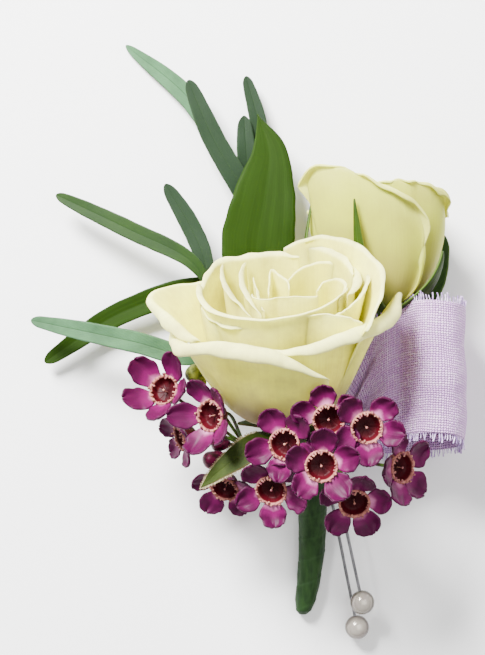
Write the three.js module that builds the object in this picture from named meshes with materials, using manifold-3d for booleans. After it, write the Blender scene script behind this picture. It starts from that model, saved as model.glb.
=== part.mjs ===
// A boutonniere laid on its back on a table: an open ivory rose, a half-open rose behind it, two sprigs of
// waxflower, two sprigs of narrow eucalyptus, a sprig of ruscus and a loop of woven ribbon. Their stems run
// together in one bundle, wrapped in green floral tape, and two pearl-headed pins are stuck in the binding.
// Millimetres. +X is to the right of the wearer's view, +Y from the stem's end towards the leaf tips, and
// +Z away from the table. Everything is placed from the binding point, and the whole is centred at the end.
import * as THREE from "three";
import { mergeVertices } from "three/addons/utils/BufferGeometryUtils.js";
import Module from "manifold-3d";

const wasm = await Module();
wasm.setup();

// Driving dimensions
const BLADE = 0.6; // thickness of every petal and leaf
const GAP = 0.35; // between pieces that touch
const STEM_R = 0.35; // stems of the foliage and the waxflowers
const ROSE_STEM_R = 0.9;
const BUNDLE_R = 1.7; // the thin stems lie round the rose's stem at this distance
const TAPE_WALL = 0.5;
const BORE_R = BUNDLE_R + STEM_R + GAP;
const TAPE_R = BORE_R + TAPE_WALL;
const COLLAR_R = 4.6; // the binding, where the tape is wound thickest
const PIN_LENGTH = 36;
const PIN_R = 0.32;
const PEARL_R = 2.5;
const RIBBON_THICK = 0.7;

const COLOURS = {
  ivory: [0xf4f0d4, 0.5],
  bud: [0xe2dfb6, 0.5],
  calyx: [0x5e7d2c, 0.6],
  eucalyptus: [0x6f9078, 0.65],
  ruscus: [0x4a7318, 0.45],
  waxflower: [0xa8328e, 0.5],
  waxcup: [0x6b1f33, 0.5],
  ribbon: [0xc9b3d4, 0.85],
  tape: [0x2f5a31, 0.7],
  steel: [0x9a9a9a, 0.3],
  pearl: [0xe6e2da, 0.2],
};

const at = (x, y, z) => new THREE.Vector3(x, y, z);
const { degToRad, smoothstep, lerp, clamp } = THREE.MathUtils;

// The value at t, from 0 to 1, of evenly spaced knots joined by straight lines.
function knotted(knots, t) {
  const place = clamp(t, 0, 1) * (knots.length - 1);
  const low = Math.min(Math.floor(place), knots.length - 2);
  return lerp(knots[low], knots[low + 1], place - low);
}

// A three.js geometry as a closed solid, with its vertices merged and its faces out.
function solid(geometry) {
  const bare = geometry.clone();
  bare.deleteAttribute("normal");
  bare.deleteAttribute("uv");
  const merged = mergeVertices(bare, 1e-3);
  const corners = merged.index.array;
  const triangles = [];
  for (let i = 0; i < corners.length; i += 3) {
    const [a, b, c] = corners.slice(i, i + 3);
    if (a !== b && b !== c && c !== a) triangles.push(a, b, c);
  }
  const build = (triVerts) => {
    const vertProperties = merged.attributes.position.array;
    return new wasm.Manifold(new wasm.Mesh({ numProp: 3, vertProperties, triVerts }));
  };
  const made = build(new Uint32Array(triangles));
  return made.volume() > 0 ? made : build(new Uint32Array(triangles.reverse()));
}

function geometryOf(made) {
  const mesh = made.getMesh();
  const geometry = new THREE.BufferGeometry();
  geometry.setAttribute("position", new THREE.BufferAttribute(mesh.vertProperties, 3));
  geometry.setIndex(new THREE.BufferAttribute(mesh.triVerts, 1));
  return geometry;
}

// The largest body of a solid: loose scraps go, and hollows that joining has sealed are filled.
const largest = (made) => made.decompose().sort((a, b) => b.volume() - a.volume())[0];

// Solids joined in one body. One that doesn't touch the rest is an error, and isn't lost as a scrap.
const SCRAP = 1; // cubic millimetres
function joined(solids) {
  const whole = solids.reduce((sum, next) => sum.add(next));
  const bodies = whole.decompose().filter((body) => body.volume() > SCRAP);
  if (bodies.length > 1) throw new Error(`${bodies.length} bodies where one was to be joined`);
  return largest(whole);
}

// A thin closed blade round the surface that pointAt gives for u and v from 0 to 1. A ring closes on itself
// along u.
function blade(pointAt, cellsU, cellsV, { thickness = BLADE, ring = false } = {}) {
  const across = ring ? cellsU : cellsU + 1;
  const column = (i) => (ring ? (i + across) % across : clamp(i, 0, cellsU));
  const middle = [];
  for (let j = 0; j <= cellsV; j++) {
    for (let i = 0; i < across; i++) middle.push(pointAt(i / cellsU, j / cellsV));
  }
  const near = (i, j) => middle[clamp(j, 0, cellsV) * across + column(i)];
  const positions = [];
  for (const side of [0.5, -0.5]) {
    for (let j = 0; j <= cellsV; j++) {
      for (let i = 0; i < across; i++) {
        const alongU = near(i + 1, j).clone().sub(near(i - 1, j));
        const alongV = near(i, j + 1).clone().sub(near(i, j - 1));
        const out = alongU.cross(alongV).normalize();
        positions.push(...near(i, j).clone().addScaledVector(out, side * thickness).toArray());
      }
    }
  }
  const under = middle.length;
  const faces = [];
  const wall = (a, b) => faces.push(a + under, b + under, b, a + under, b, a);
  for (let j = 0; j < cellsV; j++) {
    for (let i = 0; i < cellsU; i++) {
      const [a, b] = [j * across + i, j * across + column(i + 1)];
      const [c, d] = [b + across, a + across];
      faces.push(a, b, c, a, c, d, a + under, c + under, b + under, a + under, d + under, c + under);
      if (j === 0) wall(a, b);
      if (j === cellsV - 1) wall(c, d);
      if (i === 0 && !ring) wall(d, a);
      if (i === cellsU - 1 && !ring) wall(b, c);
    }
  }
  const geometry = new THREE.BufferGeometry();
  geometry.setAttribute("position", new THREE.Float32BufferAttribute(positions, 3));
  geometry.setIndex(faces);
  return solid(geometry);
}

// A round stem along a smooth curve through the points.
function stem(points, radius, sides = 5, steps = points.length * 2 - 2) {
  const section = new THREE.Shape();
  for (let k = 0; k < sides; k++) {
    const turn = (k / sides) * 2 * Math.PI;
    const corner = [radius * Math.cos(turn), radius * Math.sin(turn)];
    if (k === 0) section.moveTo(...corner);
    else section.lineTo(...corner);
  }
  const extrudePath = new THREE.CatmullRomCurve3(points);
  return solid(new THREE.ExtrudeGeometry(section, { steps, bevelEnabled: false, extrudePath }));
}

// A solid of revolution from [radius, height] pairs, standing on foot and pointing along axis.
function turned(profile, sides, foot, axis) {
  const geometry = new THREE.LatheGeometry(profile.map(([r, h]) => new THREE.Vector2(r, h)), sides);
  geometry.applyQuaternion(new THREE.Quaternion().setFromUnitVectors(at(0, 1, 0), axis.clone().normalize()));
  return solid(geometry.translate(foot.x, foot.y, foot.z));
}

// The frame of a flower: where it stands, the way it points, and two directions across it.
function flowerFrame(foot, pointing) {
  const up = pointing.clone().normalize();
  const right = at(1, 0, 0).addScaledVector(up, -up.x).normalize();
  const back = up.clone().cross(right);
  return { foot, up, right, back };
}

function inFlower(frame, radius, height, turn) {
  return frame.foot
    .clone()
    .addScaledVector(frame.up, height)
    .addScaledVector(frame.right, radius * Math.cos(turn))
    .addScaledVector(frame.back, radius * Math.sin(turn));
}

// One petal of a rose, grown from the foot of the flower up to its rim, with its lip curled out. rim gives
// [turn, radius, height] at five places from one side to the other, with turns in degrees from the flower's
// right side towards its back. lip is the length of what curls over at those places, and curl the degrees it
// turns at its longest. The body follows a bowl and flares only near a rim that reaches further out. tight is
// the share of the lip that bends, with the rest hanging straight.
const BODY_SHARE = 2 / 3; // of the petal's rows, from the foot to the rim

function petalForm({ rim, lip, curl = 110, foot = 2.6, bowl = 15.5, tight = 1 }) {
  const edge = new THREE.CatmullRomCurve3(rim.map((place) => at(...place)), false, "centripetal");
  const middle = edge.getPoint(0.5).x;
  const onBody = (reach, tall, share) => {
    const quarter = (share * Math.PI) / 2;
    const wide = Math.min(reach, bowl);
    const radius = foot + (wide - foot) * Math.sin(quarter) ** 1.15 + (reach - wide) * share ** 5;
    return [radius, tall * (1 - Math.cos(quarter))];
  };
  return (frame, u, v) => {
    const [turn, reach, tall] = edge.getPoint(u).toArray();
    const share = Math.min(v / BODY_SHARE, 1);
    let [radius, height] = onBody(reach, tall, share);
    if (v > BODY_SHARE) {
      const [before, below] = onBody(reach, tall, 0.97);
      const rise = Math.atan2(radius - before, height - below);
      const along = (v - BODY_SHARE) / (1 - BODY_SHARE);
      const length = knotted(lip, u);
      const bend = degToRad(curl) * Math.min(1, 0.45 + length / 4);
      const steps = 12;
      for (let k = 0; k < steps; k++) {
        const place = (along * (k + 0.5)) / steps;
        const lean = rise + bend * Math.min(place / tight, 1);
        radius += (Math.sin(lean) * length * along) / steps;
        height += (Math.cos(lean) * length * along) / steps;
      }
    }
    const spread = lerp(0.85, 1, smoothstep(share, 0, 0.6));
    return inFlower(frame, radius, height, degToRad(middle + (turn - middle) * spread));
  };
}

function petalSolid(frame, petal, cellsU, cellsV) {
  const form = petalForm(petal);
  return blade((u, v) => form(frame, u, v), cellsU, cellsV);
}

// The open rose, its petals from the outside in
const rose = flowerFrame(at(-5.8, 10.5, 18.5), at(-0.05, 0.866, 0.5));
const ROSE_GUARDS = [
  {
    rim: [[122, 15.5, 23], [150, 18.5, 25.5], [173, 24.6, 26.6], [186, 20, 24], [200, 16, 20.5]],
    lip: [0.5, 0.8, 1.5, 4, 2.5],
    curl: 170,
    foot: 3.4,
  },
  {
    rim: [[174, 20.5, 19.6], [199, 18.6, 20.6], [228, 13.8, 22.2], [268, 13.2, 21.6], [306, 15.6, 15.6]],
    lip: [1.5, 4.6, 6, 5.4, 0.6],
    curl: 190,
    foot: 3.8,
  },
  {
    rim: [[262, 11.6, 21.6], [296, 13, 22.2], [325, 15.4, 22.8], [346, 19.8, 23.8], [370, 24, 24.6]],
    lip: [0.5, 4, 5.4, 5, 1.5],
    curl: 180,
    foot: 3.3,
    bowl: 17,
  },
  {
    rim: [[-20, 19, 28.6], [5, 18.6, 31], [34, 17.4, 32], [58, 16.4, 32], [84, 15.2, 29.3]],
    lip: [0.6, 1, 1, 1, 0.5],
    foot: 3,
  },
  {
    rim: [[66, 12.8, 29.5], [88, 14, 29.3], [110, 15, 28.8], [138, 17, 28.6], [172, 16, 26.4]],
    lip: [0.5, 0.8, 0.8, 1, 0.6],
    foot: 3,
  },
];
const ROSE_CUP = [
  {
    rim: [[162, 15.4, 27.4], [205, 13, 27], [248, 10, 27], [300, 9.2, 27], [362, 13.6, 27.4]],
    lip: [0.5, 1.6, 1.6, 1.4, 0.5],
  },
  {
    rim: [[262, 11, 26], [292, 11, 27.6], [316, 14, 27.8], [342, 17, 28.2], [364, 17.6, 28.8]],
    lip: [0.4, 1.2, 1.2, 1, 0.5],
  },
  {
    rim: [[176, 15.6, 25.2], [202, 14.2, 24.6], [222, 12.4, 24.4], [242, 11.6, 24.4], [264, 11.2, 23.4]],
    lip: [0.4, 1.6, 2, 1.6, 0.5],
    curl: 140,
  },
  {
    rim: [[-4, 15.2, 27], [16, 16.2, 27.8], [35, 15.2, 28.8], [55, 13.2, 28.8], [76, 11.4, 28]],
    lip: [1, 2.2, 1, 0.8, 0.4],
    curl: 140,
  },
  {
    rim: [[54, 11.6, 28.6], [75, 12, 29], [95, 12.6, 29], [112, 13.4, 28.8], [134, 13.4, 28.4]],
    lip: [0.3, 0.8, 0.8, 0.8, 0.3],
  },
];
const ROSE_HEART = [
  {
    rim: [[138, 14, 28.6], [152, 12.6, 28.8], [169, 10.2, 28], [195, 8.4, 27], [226, 7.8, 25.6]],
    lip: [0.4, 1.6, 1.8, 1.4, 0.4],
    curl: 130,
  },
  {
    rim: [[104, 12.2, 28.8], [126, 11, 28.8], [150, 8.4, 28.3], [185, 6.4, 27.2], [240, 6.2, 26]],
    lip: [0.4, 1.6, 1.8, 1.4, 0.4],
    curl: 130,
  },
  {
    rim: [[30, 4.8, 26], [70, 5.8, 26.8], [102, 8, 28.2], [125, 6, 27.2], [155, 4, 25.6]],
    lip: [0.3, 0.6, 0.9, 0.6, 0.3],
    foot: 1.6,
  },
  {
    rim: [[-24, 7.8, 26], [2, 9.6, 26.8], [20, 11.6, 27.2], [36, 10.4, 27.2], [56, 8.2, 26.8]],
    lip: [0.3, 0.8, 1.2, 0.8, 0.3],
    foot: 1.8,
  },
  {
    rim: [[190, 4, 25.6], [235, 4.4, 26], [270, 4.4, 26.1], [310, 4.6, 26], [356, 5.4, 25.8]],
    lip: [0.3, 0.7, 0.7, 0.7, 0.3],
    foot: 1.4,
  },
  {
    rim: [[20, 2.6, 25.6], [90, 2.4, 26.2], [170, 2.2, 26.4], [250, 2, 26.3], [320, 1.6, 26]],
    lip: [0.2, 0.4, 0.4, 0.4, 0.2],
    foot: 1,
  },
];

function rosePetals() {
  const profile = [[0, -1], [3.6, -0.6], [5.6, 1.2], [8.6, 5], [9.2, 9], [7.6, 15], [4.4, 20], [0, 23]];
  const core = turned(profile, 12, rose.foot, rose.up);
  const heart = ROSE_HEART.map((petal) => petalSolid(rose, petal, 5, 3));
  const cup = ROSE_CUP.map((petal) => petalSolid(rose, petal, 5, 3));
  const guards = ROSE_GUARDS.map((petal) => petalSolid(rose, petal, 6, 6));
  return joined([core, ...heart, ...cup, ...guards]);
}

// The half-open rose behind it
const bud = flowerFrame(at(15.2, 32.6, 13.6), at(-0.09, 0.995, 0.02));
const BUD_GUARDS = [
  {
    rim: [[128, 12.2, 17], [160, 13.6, 20], [186, 13.8, 20.5], [212, 12.8, 19], [240, 12, 14]],
    lip: [0.4, 0.8, 1, 0.8, 0.4],
    foot: 3.2,
  },
  {
    rim: [[168, 11.6, 24.6], [194, 11.6, 26], [226, 10.6, 27.6], [266, 11, 25.6], [318, 12.6, 15]],
    lip: [4.4, 4, 1.2, 0.8, 0.6],
    curl: 190,
    foot: 3,
  },
  {
    rim: [[296, 11.6, 14], [330, 12, 22.6], [354, 11.6, 24.4], [376, 11.4, 25], [408, 11.6, 23]],
    lip: [1, 4.6, 8, 5.4, 1],
    curl: 160,
    tight: 0.4,
    foot: 3,
  },
  {
    rim: [[34, 11.6, 20], [60, 12, 25], [90, 12, 26.6], [122, 12, 26.6], [150, 12, 24]],
    lip: [0.5, 1, 1.4, 1, 0.5],
    foot: 3,
  },
];
const BUD_HEART = [
  {
    rim: [[-46, 9.8, 23], [-16, 10, 25], [20, 10, 25.8], [60, 10, 25.6], [92, 9.6, 24.4]],
    lip: [0.4, 0.8, 0.8, 0.8, 0.4],
  },
  {
    rim: [[80, 8.6, 24.6], [120, 9, 26.2], [160, 9, 27], [196, 8.6, 26.8], [230, 8, 25.6]],
    lip: [0.4, 0.8, 1, 0.8, 0.4],
  },
  {
    rim: [[200, 7, 24], [250, 7, 25], [300, 7, 25.4], [350, 6.6, 25], [400, 5.8, 24.4]],
    lip: [0.3, 0.7, 0.7, 0.7, 0.3],
    foot: 2,
  },
  {
    rim: [[20, 5, 23.8], [90, 4.6, 24.6], [160, 4, 24.8], [230, 3.4, 24.6], [300, 2.6, 24]],
    lip: [0.3, 0.5, 0.5, 0.5, 0.3],
    foot: 1.4,
  },
];

function budPetals() {
  const profile = [[0, -0.6], [2.6, -0.4], [5.6, 1.6], [8, 6], [7.4, 13], [4, 19], [0, 21.5]];
  const core = turned(profile, 10, bud.foot, bud.up);
  const outer = BUD_GUARDS.map((petal) => petalSolid(bud, petal, 5, 6));
  const inner = BUD_HEART.map((petal) => petalSolid(bud, petal, 5, 3));
  return joined([core, ...outer, ...inner]);
}

// A leaf along a curve, folded a little along its midrib. shape gives the half width from foot to tip, as a
// share of the widest.
const LEAF_SHAPE = [0.2, 0.6, 0.86, 0.98, 1, 0.95, 0.82, 0.58, 0.1];
const SEPAL_SHAPE = [0.7, 1, 0.95, 0.8, 0.6, 0.4, 0.24, 0.06];
function leaf({ spine, half, up = at(0, 0, 1), fold = 0.12, shape = LEAF_SHAPE, cells = 8 }) {
  const curve = new THREE.CatmullRomCurve3(spine);
  return blade((u, v) => {
    const along = curve.getTangentAt(v);
    const side = along.clone().cross(up).normalize();
    const out = side.clone().cross(along);
    const width = half * knotted(shape, v);
    const share = 2 * u - 1;
    return curve
      .getPointAt(v)
      .addScaledVector(side, share * width)
      .addScaledVector(out, fold * Math.abs(share) * width);
  }, 2, cells);
}

// The bundle: the axis of the taped stem from the binding to its end, and the places of the stems in it.
const BUNDLE_AXIS = [
  at(0.4, 6.4, 11.4),
  at(0.4, 1.5, 9.6),
  at(0.5, -5, 7.2),
  at(0.6, -12, 4.2),
  at(0.5, -18, 2.5),
  at(-0.2, -25, 2.05),
  at(-1.3, -31.6, 1.75),
];
const bundle = new THREE.CatmullRomCurve3(BUNDLE_AXIS);
const THIN_STEM_END = 0.6; // thin stems are cut here, as a share of the bundle
const ROSE_STEM_END = 0.92;

// A point in the bundle: along it, and off its axis at a turn from the right side towards the front.
function inBundle(along, off, turn) {
  const right = at(1, 0, 0);
  const front = right.clone().cross(bundle.getTangentAt(along)).negate();
  return bundle
    .getPointAt(along)
    .addScaledVector(right, off * Math.cos(degToRad(turn)))
    .addScaledVector(front, off * Math.sin(degToRad(turn)));
}

// The stretch of a stem that lies in the bundle, from its cut end up to the binding.
function bundled(end, off, turn, top = 0.02) {
  const count = 5;
  return Array.from({ length: count }, (_, k) => inBundle(lerp(end, top, k / (count - 1)), off, turn));
}

// Outer radius of the tape along the bundle.
const TAPE_PROFILE = [
  [0, COLLAR_R - 0.4],
  [0.03, COLLAR_R - 0.1],
  [0.1, COLLAR_R],
  [0.17, COLLAR_R - 0.2],
  [0.22, TAPE_R + 0.1],
  [0.34, TAPE_R],
  [0.5, TAPE_R - 0.05],
  [0.66, TAPE_R - 0.2],
  [0.8, TAPE_R - 0.45],
  [0.92, TAPE_R - 0.75],
  [0.98, TAPE_R - 1.3],
  [1, 0.8],
];

function tapeWrap(pins) {
  const sides = 10;
  const positions = [];
  for (const [along, radius] of TAPE_PROFILE) {
    for (let k = 0; k < sides; k++) {
      positions.push(...inBundle(along, radius, ((k + 0.5) * 360) / sides).toArray());
    }
  }
  const rings = TAPE_PROFILE.length;
  positions.push(...inBundle(0, 0, 0).toArray(), ...inBundle(1, 0, 0).toArray());
  const [top, end] = [rings * sides, rings * sides + 1];
  const faces = [];
  for (let k = 0; k < sides; k++) {
    const next = (k + 1) % sides;
    faces.push(top, next, k, end, (rings - 1) * sides + k, (rings - 1) * sides + next);
    for (let j = 0; j < rings - 1; j++) {
      const [a, b] = [j * sides + k, j * sides + next];
      faces.push(a, b, b + sides, a, b + sides, a + sides);
    }
  }
  const geometry = new THREE.BufferGeometry();
  geometry.setAttribute("position", new THREE.Float32BufferAttribute(positions, 3));
  geometry.setIndex(faces);
  const past = inBundle(0, 0, 0).addScaledVector(bundle.getTangentAt(0), -2);
  const wideBore = [past, ...[0, 0.15, 0.3, 0.45, THIN_STEM_END + 0.02].map((s) => inBundle(s, 0, 0))];
  const narrowBore = [0.5, 0.6, 0.7, 0.8, ROSE_STEM_END + 0.015].map((s) => inBundle(s, 0, 0));
  const mouth = [[0, -3.5], [BORE_R, -3.5], [BORE_R + 1.4, 1], [0, 1]];
  const below = new THREE.BoxGeometry(40, 60, 10).translate(0, -20, -5);
  let wrap = solid(geometry)
    .subtract(stem(wideBore, BORE_R, 10, 6))
    .subtract(turned(mouth, 10, inBundle(0, 0, 0), bundle.getTangentAt(0).negate()))
    .subtract(stem(narrowBore, ROSE_STEM_R + GAP, 8, 4))
    .subtract(solid(below));
  for (const pin of pins) wrap = wrap.subtract(pinRod(pin, PIN_R + GAP, PIN_LENGTH + 0.6, 8));
  return largest(wrap);
}

// The pins, each from its pearl to the place in the binding that it is stuck through.
const PINS = [
  { pearl: at(9.9, -34.2, 2.9), through: at(2.6, 2, 7.1) },
  { pearl: at(10.8, -28.6, 6.3), through: at(4, 2, 8.9) },
];
const PIN_SEAT = 1.2; // how far the steel stands inside the pearl from its centre

const pinWay = (pin) => pin.through.clone().sub(pin.pearl).normalize();

function pinRod(pin, radius, length, sides) {
  const way = pinWay(pin);
  const foot = pin.pearl.clone().addScaledVector(way, PEARL_R - PIN_SEAT);
  const taper = 3;
  const profile = [[0, 0], [radius, 0], [radius, length - taper], [radius / 2.5, length], [0, length]];
  return turned(profile, sides, foot, way);
}

function pearl(pin) {
  const way = pinWay(pin);
  const ball = new THREE.SphereGeometry(PEARL_R, 12, 8).translate(pin.pearl.x, pin.pearl.y, pin.pearl.z);
  const seat = pin.pearl.clone().addScaledVector(way, PEARL_R - PIN_SEAT - GAP);
  const radius = PIN_R + GAP;
  return solid(ball).subtract(turned([[0, 0], [radius, 0], [radius, 4], [0, 4]], 8, seat, way));
}

// A sepal grown from the top of the hip. leans are degrees from the flower's axis, from foot to tip.
function sepal(frame, { turn, tall, wide = 3, leans }) {
  const point = (u, v) => {
    const across = 2 * u - 1;
    const steps = 16;
    let radius = 2.2;
    let height = -1.6;
    for (let k = 0; k < steps; k++) {
      const lean = degToRad(knotted(leans, (v * (k + 0.5)) / steps));
      radius += (Math.sin(lean) * tall * v) / steps;
      height += (Math.cos(lean) * tall * v) / steps;
    }
    const half = wide * knotted(SEPAL_SHAPE, v) * across;
    return inFlower(frame, Math.hypot(radius, half), height, degToRad(turn) + Math.atan2(half, radius));
  };
  return blade(point, 2, leans.length);
}

// A calyx: the urn-shaped hip under the flower, its sepals, and its stem down into the bundle.
function calyx(frame, sepals, stemPoints, stemRadius) {
  const profile = [[0, -5.6], [1.2, -5.4], [2.3, -4.4], [2.6, -3], [2.2, -2.2], [3, -1.6], [3, -1.3], [0, -1.3]];
  const hip = turned(profile, 10, frame.foot, frame.up);
  return joined([hip, ...sepals.map((given) => sepal(frame, given)), stem(stemPoints, stemRadius, 6)]);
}

// The ribbon: a strip led out from the binding in front, round at the right and back behind, with its
// gathered ends at the binding. Each station gives x and z of the strip and the lowest and highest y.
const RIBBON_STATIONS = [
  [5.3, 10.6, 2.2, 7.4],
  [8.2, 12.4, 1.8, 16],
  [11.5, 14.8, 2.6, 25.4],
  [15, 18.2, 3.7, 30.6],
  [19, 21.8, 4.9, 32.8],
  [23.6, 23.8, 5.4, 33.6],
  [28, 22.4, 5.2, 33.2],
  [30.6, 18, 4.6, 32.4],
  [30.9, 12.5, 3.9, 31.6],
  [29, 6.8, 3.2, 31],
  [24.6, 2.6, 2.5, 30.2],
  [19, 0.5, 2, 28],
  [13.5, 2, 1.6, 21.5],
  [9, 4.8, 1.4, 13.5],
  [5.4, 7.6, 1.6, 7],
];

function ribbonLoop() {
  const route = new THREE.CatmullRomCurve3(RIBBON_STATIONS.map(([x, z]) => at(x, 0, z)));
  const lows = RIBBON_STATIONS.map((station) => station[2]);
  const highs = RIBBON_STATIONS.map((station) => station[3]);
  return blade(
    (u, v) => route.getPoint(v).setY(lerp(knotted(lows, v), knotted(highs, v), u)),
    3,
    (RIBBON_STATIONS.length - 1) * 2,
    { thickness: RIBBON_THICK },
  );
}

// A waxflower: a cup with a style in it, and five round petals spread from its rim.
const CUP_R = 3.1;
const CUP_DEEP = 3.8;
const PETAL_NOTCH = 4.3; // how far out from the cup's axis two petals part
const PETAL_TIP = 8;
const PETAL_TILT = 0.8; // a petal's one side stands higher than its other by twice this

const scaled = (profile, size) => profile.map(([r, h]) => [r * size, h * size]);

function waxflowerCup({ rim, facing, size = 1 }) {
  const profile = [[0, -CUP_DEEP], [1.3, -CUP_DEEP], [2.6, -2], [CUP_R, 0], [2.2, 0.3], [1.8, -2], [0, -2.4]];
  const style = [[0, -2.8], [0.35, -2.8], [0.3, -0.4], [0, -0.2]];
  return turned(scaled(profile, size), 8, rim, facing).add(turned(scaled(style, size), 4, rim, facing));
}

function waxflowerPetals({ rim, facing, roll = 0, size = 1 }, { thickness = BLADE, spare = 0 } = {}) {
  const frame = flowerFrame(rim, facing);
  const cells = 4;
  const foot = CUP_R * size + GAP;
  const point = (u, v) => {
    const across = 2 * ((u * 5) % 1) - 1;
    const end = size * lerp(PETAL_TIP, PETAL_NOTCH, Math.abs(across) ** 2.6) + spare;
    const tilt = PETAL_TILT * Math.sin(Math.PI * across) * v;
    const height = size * (-0.3 + 1.2 * v - 0.5 * v * v + tilt);
    return inFlower(frame, lerp(foot, end, v), height, degToRad(roll + 360 * u));
  };
  return blade(point, 5 * cells, 2, { ring: true, thickness });
}

// The side stem of a flower, from its fork to the back of its cup.
function waxflowerStalk({ fork, rim, facing, size = 1 }, radius = STEM_R) {
  const way = facing.clone().normalize();
  const behind = (distance) => rim.clone().addScaledVector(way, -CUP_DEEP * size - distance);
  return stem([fork, behind(2.2), behind(0), behind(-0.8)], radius, 4, 4);
}

// What the petals behind a flower are cut clear of: its cup, its stalk and, with room to spare, its petals.
function waxflowerRoom(flower) {
  const { rim, facing, size = 1 } = flower;
  const wide = CUP_R * size + 2 * GAP;
  const profile = [[0, -CUP_DEEP - GAP], [1.8, -CUP_DEEP - GAP], [wide, -2.2], [wide, 0.8], [0, 0.8]];
  const cup = turned(profile, 10, rim, facing);
  return [cup, waxflowerStalk(flower, STEM_R + GAP), waxflowerPetals(flower, { thickness: BLADE + 3 * GAP, spare: GAP })];
}

// A sprig of waxflowers: a main stem, a stalk and a cup for each flower, and closed buds on their own stalks.
const BUD_R = 1.7;
function waxflowerSprig({ main, flowers, buds = [] }) {
  const closed = buds.flatMap(({ fork, tip, size = 1 }) => {
    const way = tip.clone().sub(fork).normalize();
    const foot = tip.clone().addScaledVector(way, -4.4 * size);
    const profile = [[0, -0.4], [0.7, 0], [1.5, 1.6], [BUD_R, 2.8], [1.2, 3.9], [0, 4.4]];
    return [stem([fork, foot], STEM_R, 4, 1), turned(scaled(profile, size), 7, foot, way)];
  });
  const grown = flowers.flatMap((flower) => [waxflowerStalk(flower), waxflowerCup(flower)]);
  return joined([stem(main, STEM_R, 5), ...closed, ...grown]);
}

const LEFT_FORK = at(-13.5, 4.4, 16);
const LEFT_LOW_FORK = at(-7.6, 4, 13.6);
const LEFT_WAXFLOWERS = [
  { rim: at(-20.9, 10.6, 29.5), facing: at(-0.5, -0.06, 0.86), roll: 73, fork: LEFT_FORK },
  { rim: at(-29.6, 15.6, 21), facing: at(-0.42, 0.2, 0.88), roll: 20, fork: LEFT_FORK },
  { rim: at(-26.4, 6, 17.4), facing: at(-0.9, -0.26, 0.36), roll: 0, fork: LEFT_FORK, size: 0.85 },
  { rim: at(-17.4, -4, 22.4), facing: at(-0.25, -0.6, 0.76), roll: 54, fork: LEFT_LOW_FORK, size: 0.92 },
];
const WAXFLOWER_BUDS = [
  { tip: at(-24.4, 20.4, 20.6), fork: LEFT_FORK, size: 1.1 },
  { tip: at(-20.2, 4.6, 13.6), fork: LEFT_FORK, size: 0.9 },
  { tip: at(-21.8, 0.6, 15.6), fork: LEFT_FORK, size: 1 },
  { tip: at(-18.2, -2, 13), fork: LEFT_FORK, size: 0.9 },
];
const FRONT_FORK = at(2, 3.6, 21);
const FRONT_WAXFLOWERS = [
  { rim: at(1, 1.9, 43.4), facing: at(0.02, -0.1, 0.99), roll: 52, fork: FRONT_FORK },
  { rim: at(9.8, 9, 40), facing: at(0.12, -0.12, 0.98), roll: 20, fork: FRONT_FORK },
  { rim: at(2.6, 10.4, 38), facing: at(-0.08, -0.2, 0.97), roll: 64, fork: FRONT_FORK },
  { rim: at(-5.8, 5.6, 36), facing: at(-0.35, -0.12, 0.93), roll: 10, fork: FRONT_FORK },
  { rim: at(7.8, -6, 33), facing: at(0.06, -0.46, 0.88), roll: 44, fork: FRONT_FORK },
  { rim: at(17.2, 0.8, 31), facing: at(0.66, -0.04, 0.75), roll: 66, fork: FRONT_FORK },
  { rim: at(-8.3, -3.6, 31), facing: at(-0.18, -0.34, 0.92), roll: 28, fork: FRONT_FORK },
];

// The petals of every flower, each listed behind those that lie over it.
function allWaxflowerPetals() {
  const flowers = [...FRONT_WAXFLOWERS, ...LEFT_WAXFLOWERS];
  const rooms = flowers.map(waxflowerRoom);
  return flowers.map((flower, k) => {
    const near = (other) => flowers[other].rim.distanceTo(flower.rim) < 4 * PETAL_TIP;
    let petals = waxflowerPetals(flower);
    rooms.forEach(([cup, stalk, over], other) => {
      if (other === k || !near(other)) return;
      petals = petals.subtract(cup).subtract(stalk);
      if (other < k) petals = petals.subtract(over);
    });
    return largest(petals);
  });
}

const node = (name, colour, made) => {
  const [color, roughness] = COLOURS[colour];
  const metalness = colour === "steel" ? 1 : 0;
  const material = new THREE.MeshStandardMaterial({ color, roughness, metalness });
  const mesh = new THREE.Mesh(geometryOf(made), material);
  mesh.name = name;
  return mesh;
};

const group = new THREE.Group();
group.add(node("rose_petals", "ivory", rosePetals()));

const roseStem = [...bundled(ROSE_STEM_END, 0, 0), at(0.2, 7.6, 13.4), at(-2.6, 7.6, 15.6), at(-5.5, 6.4, 16.2)];
const ROSE_SEPALS = [
  { turn: 245, tall: 8, wide: 2.6, leans: [86, 96, 104] },
  { turn: 180, tall: 7, wide: 2.6, leans: [84, 90, 94] },
  { turn: 110, tall: 7, wide: 2.6, leans: [86, 90, 92] },
  { turn: 40, tall: 8, wide: 2.6, leans: [86, 92, 96] },
  { turn: 310, tall: 7.6, wide: 2.6, leans: [86, 92, 96] },
];
// One sepal has grown to a leaf and hangs forward over the waxflowers.
const longSepal = leaf({
  spine: [at(-5.9, 7.4, 17), at(-8.8, 5.6, 23.6), at(-13, 3.8, 28.4), at(-18, 0.2, 28.6), at(-22, -3.4, 26.6)],
  half: 2.9,
  up: at(-0.3, 0.3, 0.9),
});
const roseCalyx = calyx(rose, ROSE_SEPALS, roseStem, ROSE_STEM_R);
group.add(node("rose_calyx_and_stem", "calyx", joined([roseCalyx, longSepal])));

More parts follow.
